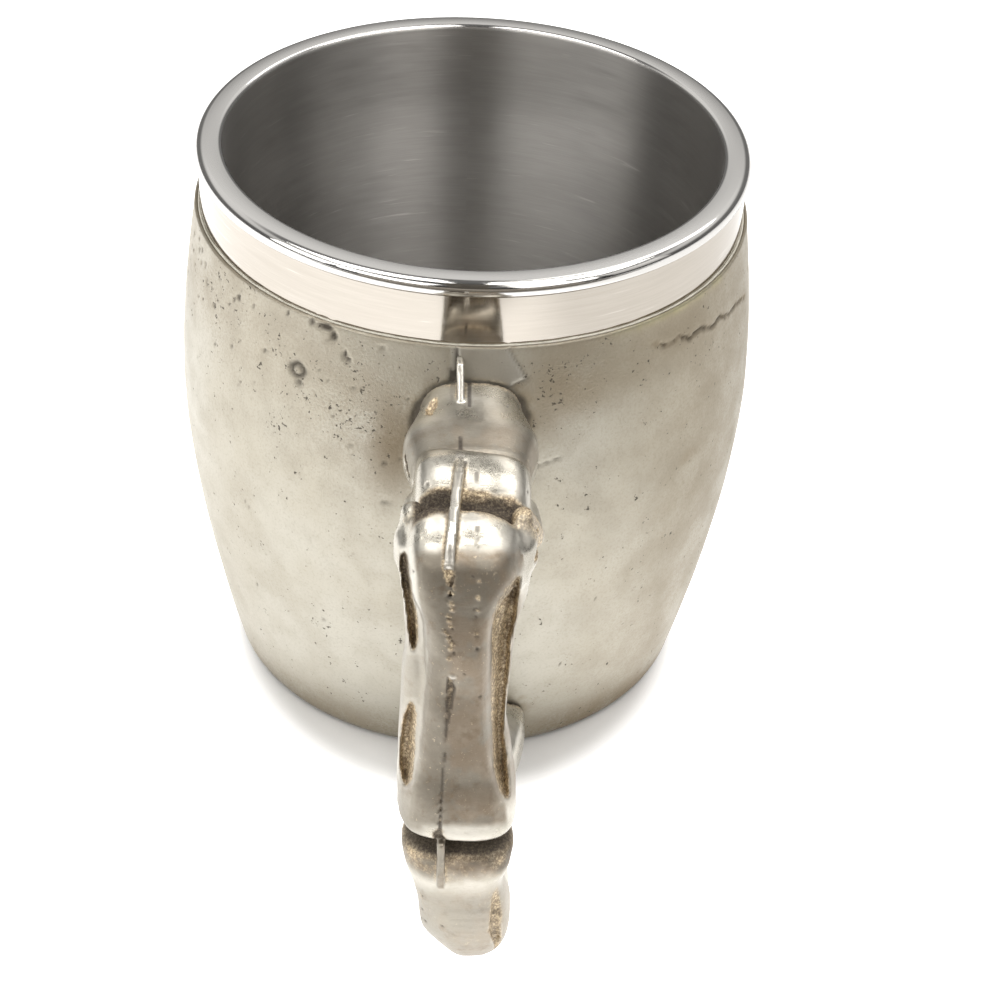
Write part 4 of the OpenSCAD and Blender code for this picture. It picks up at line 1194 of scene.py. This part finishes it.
def surface_nets(f, origin, h):
    s = f < 0
    nx, ny, nz = f.shape
    corners = [(a, b, c) for a in (0, 1) for b in (0, 1) for c in (0, 1)]
    count = np.zeros((nx - 1, ny - 1, nz - 1), np.uint8)
    for a, b, c in corners:
        count += s[a:nx - 1 + a, b:ny - 1 + b, c:nz - 1 + c]
    active = (count > 0) & (count < 8)
    cell = np.argwhere(active)
    idx = np.full(active.shape, -1, np.int32)
    idx[active] = np.arange(len(cell))
    val = {c: f[cell[:, 0] + c[0], cell[:, 1] + c[1], cell[:, 2] + c[2]] for c in corners}
    pos, cnt = np.zeros((len(cell), 3)), np.zeros(len(cell))
    for a in corners:
        for b in corners:
            if a < b and sum(abs(p - q) for p, q in zip(a, b)) == 1:
                fa, fb = val[a], val[b]
                m = (fa < 0) != (fb < 0)
                t = np.where(m, fa / np.where(m, fa - fb, 1), 0)
                pos += np.where(m[:, None], np.array(a) + t[:, None] * (np.array(b) - np.array(a)), 0)
                cnt += m
    verts = (cell + pos / cnt[:, None]) * h + origin
    quads = []
    for ax in range(3):
        o1, o2 = [(1, 2), (2, 0), (0, 1)][ax]
        lo = [slice(1, -1)] * 3
        lo[ax] = slice(0, -1)
        hi = list(lo)
        hi[ax] = slice(1, None)
        sa_, sb_ = s[tuple(lo)], s[tuple(hi)]
        e = np.argwhere(sa_ != sb_)
        flip = sb_[tuple(e.T)]
        base = e.copy()
        base[:, o1] += 1
        base[:, o2] += 1
        q = []
        for d1, d2 in ((-1, -1), (0, -1), (0, 0), (-1, 0)):
            c = base.copy()
            c[:, o1] += d1
            c[:, o2] += d2
            q.append(idx[c[:, 0], c[:, 1], c[:, 2]])
        q = np.stack(q, 1)
        q[flip] = q[flip][:, ::-1]
        quads.append(q)
    return verts, np.concatenate(quads)


hv, hq = surface_nets(f, np.array([gx[0], gy[0], gz[0]]), H)


def relax(v, q, rounds, amount):
    """Evens out the net without shrinking it much."""
    pairs = np.concatenate([q[:, [0, 1]], q[:, [1, 2]], q[:, [2, 3]], q[:, [3, 0]]])
    pairs = np.unique(np.sort(pairs, 1), axis=0)
    deg = np.bincount(pairs.ravel(), minlength=len(v)).astype(float)
    for r in range(rounds):
        acc = np.zeros_like(v)
        for c in range(3):
            acc[:, c] = np.bincount(pairs[:, 0], v[pairs[:, 1], c], len(v)) + np.bincount(pairs[:, 1], v[pairs[:, 0], c], len(v))
        v = v + (amount if r % 2 == 0 else -amount * 1.02) * (acc / deg[:, None] - v)
    return v, pairs, deg


hv, pairs, deg = relax(hv, hq, 4, 0.5)


def normals(v, q):
    nn = np.cross(v[q[:, 2]] - v[q[:, 0]], v[q[:, 3]] - v[q[:, 1]])
    out = np.zeros_like(v)
    for c in range(3):
        for j in range(4):
            out[:, c] += np.bincount(q[:, j], nn[:, c], len(v))
    return out / np.maximum(1e-12, np.linalg.norm(out, axis=1))[:, None]


def curvature(v, nrm, rounds=3):
    """Positive in hollows, negative on edges, per mm."""
    acc = np.zeros_like(v)
    for c in range(3):
        acc[:, c] = np.bincount(pairs[:, 0], v[pairs[:, 1], c], len(v)) + np.bincount(pairs[:, 1], v[pairs[:, 0], c], len(v))
    k = ((acc / deg[:, None] - v) * nrm).sum(1) / (H * H)
    for _ in range(rounds):
        k = (np.bincount(pairs[:, 0], k[pairs[:, 1]], len(v)) + np.bincount(pairs[:, 1], k[pairs[:, 0]], len(v))) / deg * 0.6 + k * 0.4
    return k


hn = normals(hv, hq)
curv = curvature(hv, hn)
x, y, z = hv.T
s2 = (y - KNUCKLE_Y) * DV[0] + (z - ROOT_Z) * DV[1]
n2 = (y - KNUCKLE_Y) * NV[0] + (z - ROOT_Z) * NV[1]
big, fine_n, tiny = fbm(hv, 3.2, 21), noise(hv, 0.8, 22), noise(hv, 0.45, 23)
dark = ramp(curv, 0.22, 0.60) * 0.8
gold = ramp(curv, 0.07, 0.26) * 0.7
edge = ramp(-curv, 0.16, 0.5)
d2 = s2 + (n2 - 6.3) * 0.625
# the two joints
end1 = y + 0.16 * x
# the upper gap is painted dark, both for packed dirt and as painted shade inside it
gap1 = ramp(end1 + 0.35 * big, 66.4, 67.1) * (1 - ramp(y - 0.15 * x + 0.3 * big, 73.6, 74.6)) * ramp(z + 0.8 * big, 67.0, 70.0) * (1 - ramp(np.abs(x), 7.6, 8.6))
left1 = ramp(x, 1.8, 2.6)
deep = 1 - ramp(z + 0.5 * big + 0.2 * fine_n, 73.6, 74.8)
dark = np.maximum(dark, gap1 * np.maximum(left1, deep) * ramp(end1, 66.5, 67.3) * 0.97)
gold = np.maximum(gold, 0.65 * (1 - ramp(n2 + 0.6 * big, -0.9, 0.5)) * (s2 < -4.5) * (n2 > -2.2) * (1 - left1 * 0.6))
gold = np.maximum(gold, np.maximum(gap1, 0.8 * (1 - left1) * ramp(end1 + 0.5 * big, 66.2, 67.2) * (1 - ramp(y + 0.8 * big, 73.0, 75.0)) * ramp(z + 0.8 * big, 63.0, 66.0)))
gap2 = bell(seg_dist(y, z, [tuple(mid_point(45.0, 9.0)), tuple(mid_point(45.0, -8.0))]) / 1.5)
dark = np.maximum(dark, ramp(gap2, 0.72, 0.97) * 0.95)
dark = np.maximum(dark, 0.62 * ramp(s2, 44.5, 45.5) * (1 - ramp(s2 + 1.0 * big + 0.12 * x, 45.6, 48.6)) * ramp(n2 + 0.6 * big, -2.5, 0.5))
gold = np.maximum(gold, 0.6 * ramp(gap2 + 0.12 * big, 0.30, 0.7))
below2 = ramp(s2, 44.5, 46.0) * (1 - ramp(s2 + 0.9 * big, 47.6, 51.4)) * ramp(n2 + 0.6 * big, -2.5, 0.5)
spot = np.maximum(bell(np.hypot(x - 7.0, s2 - 46.0) / 1.2), bell(np.hypot(x + 5.6, s2 - 46.8) / 1.2))
gold = np.maximum(gold, below2 * np.maximum(0.30 * ramp(fine_n + tiny, -0.2, 0.5), 0.95 * spot))
dark = dark * (1 - 0.7 * spot * below2)
facing = ramp(hn[:, 1] * NV[0] + hn[:, 2] * NV[1], -0.3, 0.1) * (n2 > -3.0)
for j, (table, _) in enumerate(trenches):
    m = in_trench(table, x, d2)
    inside_t = ramp(m + 0.10 * fine_n, -0.12, 0.18) * facing
    top = [1 - ramp(d2 + 1.5 * big, -1.0, 5.5), 0.12 * bell((d2 - 27) / 3.5), 0.55 * (1 - ramp(d2 + 2.0 * big, 0.0, 6.0))][j]
    gold = np.maximum(gold, inside_t)
    dark = np.maximum(dark, inside_t * (0.04 + 0.76 * top) * ramp(fine_n + 0.6 * tiny + 1.2 * top, -0.3, 0.6))
    rim_t = bell((m + 0.45) / 0.35) * facing * (np.abs(x) < 9.4)
    edge = np.maximum(edge, 0.22 * rim_t)
for g, amount in grooves:
    d = chain_dist(hv, g)
    gold = np.maximum(gold, amount * ramp(0.45 + 0.15 * fine_n - d, 0.0, 0.45))
    dark = np.maximum(dark, amount * 0.62 * ramp(0.10 + 0.35 * fine_n + 0.25 * big - d, 0.1, 0.5))
for g, kind in pits:
    d = chain_dist(hv, g)
    gold = np.maximum(gold, ramp(0.4 + 0.15 * fine_n - d, 0.0, 0.35) * (1.0 if kind == "gold" else 0.6))
    if kind == "dark":
        dark = np.maximum(dark, ramp(0.3 - d, 0.0, 0.3) * 0.85)
for g, amount in ((line, 0.75), (line2, 0.8), (notch, 0.5)):
    d = chain_dist(hv, g)
    dark = np.maximum(dark, amount * ramp(0.20 - d, 0.0, 0.22) * ramp(fine_n + 0.5 * tiny, -0.75, -0.1))
thin = [[(-0.5, 62.6, 76.8, 0.1), (-0.5, 65.8, 75.6, 0.1)], [m2(-6.6, 1.4, -0.6, 0.1), m2(-4.6, 4.2, -0.6, 0.1)]]
for g in thin:
    dark = np.maximum(dark, 0.55 * ramp(0.42 - chain_dist(hv, g), 0.0, 0.30) * ramp(fine_n + tiny, -0.6, 0.1))
faint = [m2(-2.0, 6.6, -0.8, 0.1), m2(8.0, 6.6, -0.75, 0.1), m2(15.0, 6.1, -0.6, 0.1)]
dark = np.maximum(dark, 0.5 * ramp(0.30 - chain_dist(hv, faint), 0.0, 0.25) * ramp(fine_n + tiny, 0.0, 0.5))
# crumbs and pin holes along the parting line
rng = np.random.default_rng(23)
for j in range(40):
    side = j % 4 == 3
    at, off = rng.uniform(-1.5, 12.8), (-0.8 if side else 2.75) + rng.normal() * (0.14 if side else 0.24)
    r = rng.uniform(0.24, 0.44) * (0.8 if side else 1.0)
    g = (1 - ramp(np.hypot(x - off, d2 - at) / r, 0.3, 1.2)) * (n2 > 4)
    if j % 3 == 0:
        hv = hv - hn * (0.16 * g)[:, None]
        dark = np.maximum(dark, 0.85 * g)
    else:
        hv = hv + hn * (0.15 * g)[:, None]
        gold, dark = np.maximum(gold, 0.8 * g), dark * (1 - 0.8 * g)
chip = (1 - ramp(np.hypot((x - 2.2) * 0.7, d2 - 14.9) / 0.42, 0.4, 1.2)) * (n2 > 4)
hv = hv + hn * (0.25 * chip)[:, None]
edge, dark = np.maximum(edge, chip), dark * (1 - chip)
# dull brown patina over the flat of the middle bone's back, darkened further as painted shade and painted reflection
strip_l = np.interp(d2, [-8, -3.5, 1.2, 5, 7.5, 14, 18, 23, 28, 33, 37, 42], [7.6, 7.4, 6.9, 6.5, 5.6, 5.4, 5.7, 5.9, 6.3, 6.8, 7.4, 7.6])
strip_r = np.interp(d2, [-8, -2, 1, 3.5, 5, 18, 24, 30, 36, 42], [-6.0, -5.4, -3.8, -2.5, -2.1, -2.4, -2.9, -3.5, -4.6, -5.4])
tone = np.maximum(ramp(np.minimum(strip_l - x, x - strip_r) + 0.15 * big, -0.2, 0.5), 0.92 * ramp(np.minimum(strip_l + 0.5 - x, x - strip_r + 1.5) + 0.15 * big, -0.2, 0.5)) * ramp(d2 + 0.4 * big, -6.2, -4.2) * (1 - ramp(d2 + 0.4 * big, 38.8, 40.6)) * (n2 > 2)
warm = ramp(2.6 - x + 0.6 * big, -0.6, 0.6) * ramp(big + 0.5 * fine_n, -0.9, 0.3)
# painted shade on the tip, in the same dull tone
tone = np.maximum(tone, 0.60 * ramp(s2, 50.0, 54.0) * ramp(n2 + 0.8 * big, -6.0, 0.0))
tone = np.maximum(tone, below2)
# painted shade on the side rims of the middle bone and on the bell of the upper bone, in the same dull tone
tone = np.maximum(tone, 0.50 * ramp(x, 4.6, 6.0) * ramp(d2, 3.0, 7.0) * (1 - ramp(d2, 27.0, 31.0)) * ramp(n2 + 0.5 * big, -5.5, -2.5))
tone = np.maximum(tone, 0.85 * ramp(-x, 4.8, 6.0) * ramp(d2, 0.0, 5.0) * (1 - ramp(d2, 34.0, 38.0)) * ramp(n2 + 0.5 * big, -5.5, -2.5))
tone = np.maximum(tone, 0.75 * ramp(x, 4.8, 6.2) * ramp(d2, 29.0, 34.0) * (1 - ramp(d2, 40.0, 43.0)) * ramp(n2 + 0.5 * big, -5.5, -2.5))
tone = np.maximum(tone, 0.75 * ramp(y, 51.0, 54.0) * (1 - ramp(y, 59.0, 61.0)) * (z > 70))
slit = [(1.75, 55.6, 75.5, 0.12), (1.5, 60.0, 75.2, 0.16), (1.05, 63.5, 76.8, 0.16)]
dark = np.maximum(dark, 0.9 * ramp(0.28 - chain_dist(hv, slit), 0.0, 0.2))
slit = [(0.45, 44.5, 76.9, 0.3), (0.35, 49.2, 76.6, 0.15)]
dark = np.maximum(dark, 0.9 * ramp(0.35 - chain_dist(hv, slit), 0.0, 0.25))
on_web, web_shine = np.zeros(len(hv)), np.zeros(len(hv))
for (c, x0, x1, th), shine in zip(webs, (0.8, 0.85, 0.0)):
    c = np.array(c)
    v = c[np.linalg.norm(c - c[0], axis=1).argmax()] - c[0]
    at = np.clip(((y - c[0][0]) * v[0] + (z - c[0][1]) * v[1]) / (v @ v), 0, 1)
    d = np.full(len(hv), -1e9)
    for a, b in zip(c, np.roll(c, -1, axis=0)):
        e = b - a
        nn = np.array([e[1], -e[0]]) / np.linalg.norm(e)
        nn = -nn if (c.mean(0) - a) @ nn > 0 else nn
        d = np.maximum(d, (y - a[0]) * nn[0] + (z - a[1]) * nn[1])
    off = np.abs(x - (x0 + (x1 - x0) * at)) - th / 2
    here = (1 - ramp(off, -0.15, 0.10)) * ramp(d, -1.3, -0.6) * (1 - ramp(d, 0.15, 0.4))
    on_web, web_shine = np.maximum(on_web, here), np.maximum(web_shine, shine * here)
dark, gold = dark * (1 - on_web), gold * (1 - on_web)
edge = np.maximum(edge * (1 - on_web), web_shine)
tone = np.maximum(tone * (1 - on_web), 0.8 * (on_web - web_shine) * (n2 > 0) * (s2 > 40))
# where the ends meet the casting
seat = np.hypot(x, y) - barrel(z) + 9.0 * ((z > 77.4) & (np.abs(x - 1.8) < 0.95))
dark = np.maximum(dark, 0.75 * (1 - ramp(seat + 0.25 * big, 0.15, 0.8)) * ramp(np.abs(x), 4.5, 6.5))
gold = np.maximum(gold, 0.7 * (1 - ramp(seat + 0.5 * big, 0.5, 1.4)))
edge = np.maximum(edge, 0.75 * (1 - ramp(seat + 0.3 * big, 0.5, 1.1)) * (z > 75.5) * (np.abs(x) < 5.5))
rng = np.random.default_rng(19)
for _ in range(45):
    c = hv[rng.integers(len(hv))]
    r = rng.uniform(0.16, 0.34)
    d = np.linalg.norm(hv - c, axis=1)
    m = d < r * 2
    hv[m] -= hn[m] * (0.14 * (1 - ramp(d[m] / r, 0.3, 1.4)))[:, None]
    dark[m] = np.maximum(dark[m], 0.75 * (1 - ramp(d[m] / r, 0.4, 1.3)))
# painted highlight: a light patch on the -X side of the upper bone's top, near the casting
edge = np.maximum(edge, 0.9 * bell((x + 2.8) / 1.7) * bell((y - 47.5) / 4.0) * (z > 74))
hv = hv + hn * (0.02 * big + 0.012 * fine_n + 0.10 * (gold * tiny))[:, None]
hv[:, 2] = np.maximum(hv[:, 2], 0.3)
handle = make_mesh("finger_bones", hv, hq, None, dict(dark=dark, gold=gold, tone=tone, edge=edge, warm=warm))
handle.data.materials.append(m_bone)
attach(handle, "root"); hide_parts("finger_handle")

# ---------------------------------------------------------------------------------------------------------------------
# Pieces whose construction shape is kept
# ---------------------------------------------------------------------------------------------------------------------
for node, material in (("cup_base", m_plain), ("handle_core", m_plain), ("handle_epoxy", m_epoxy), ("base_pad", m_foam)):
    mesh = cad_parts[node].data
    mesh.materials.clear()
    mesh.materials.append(material)
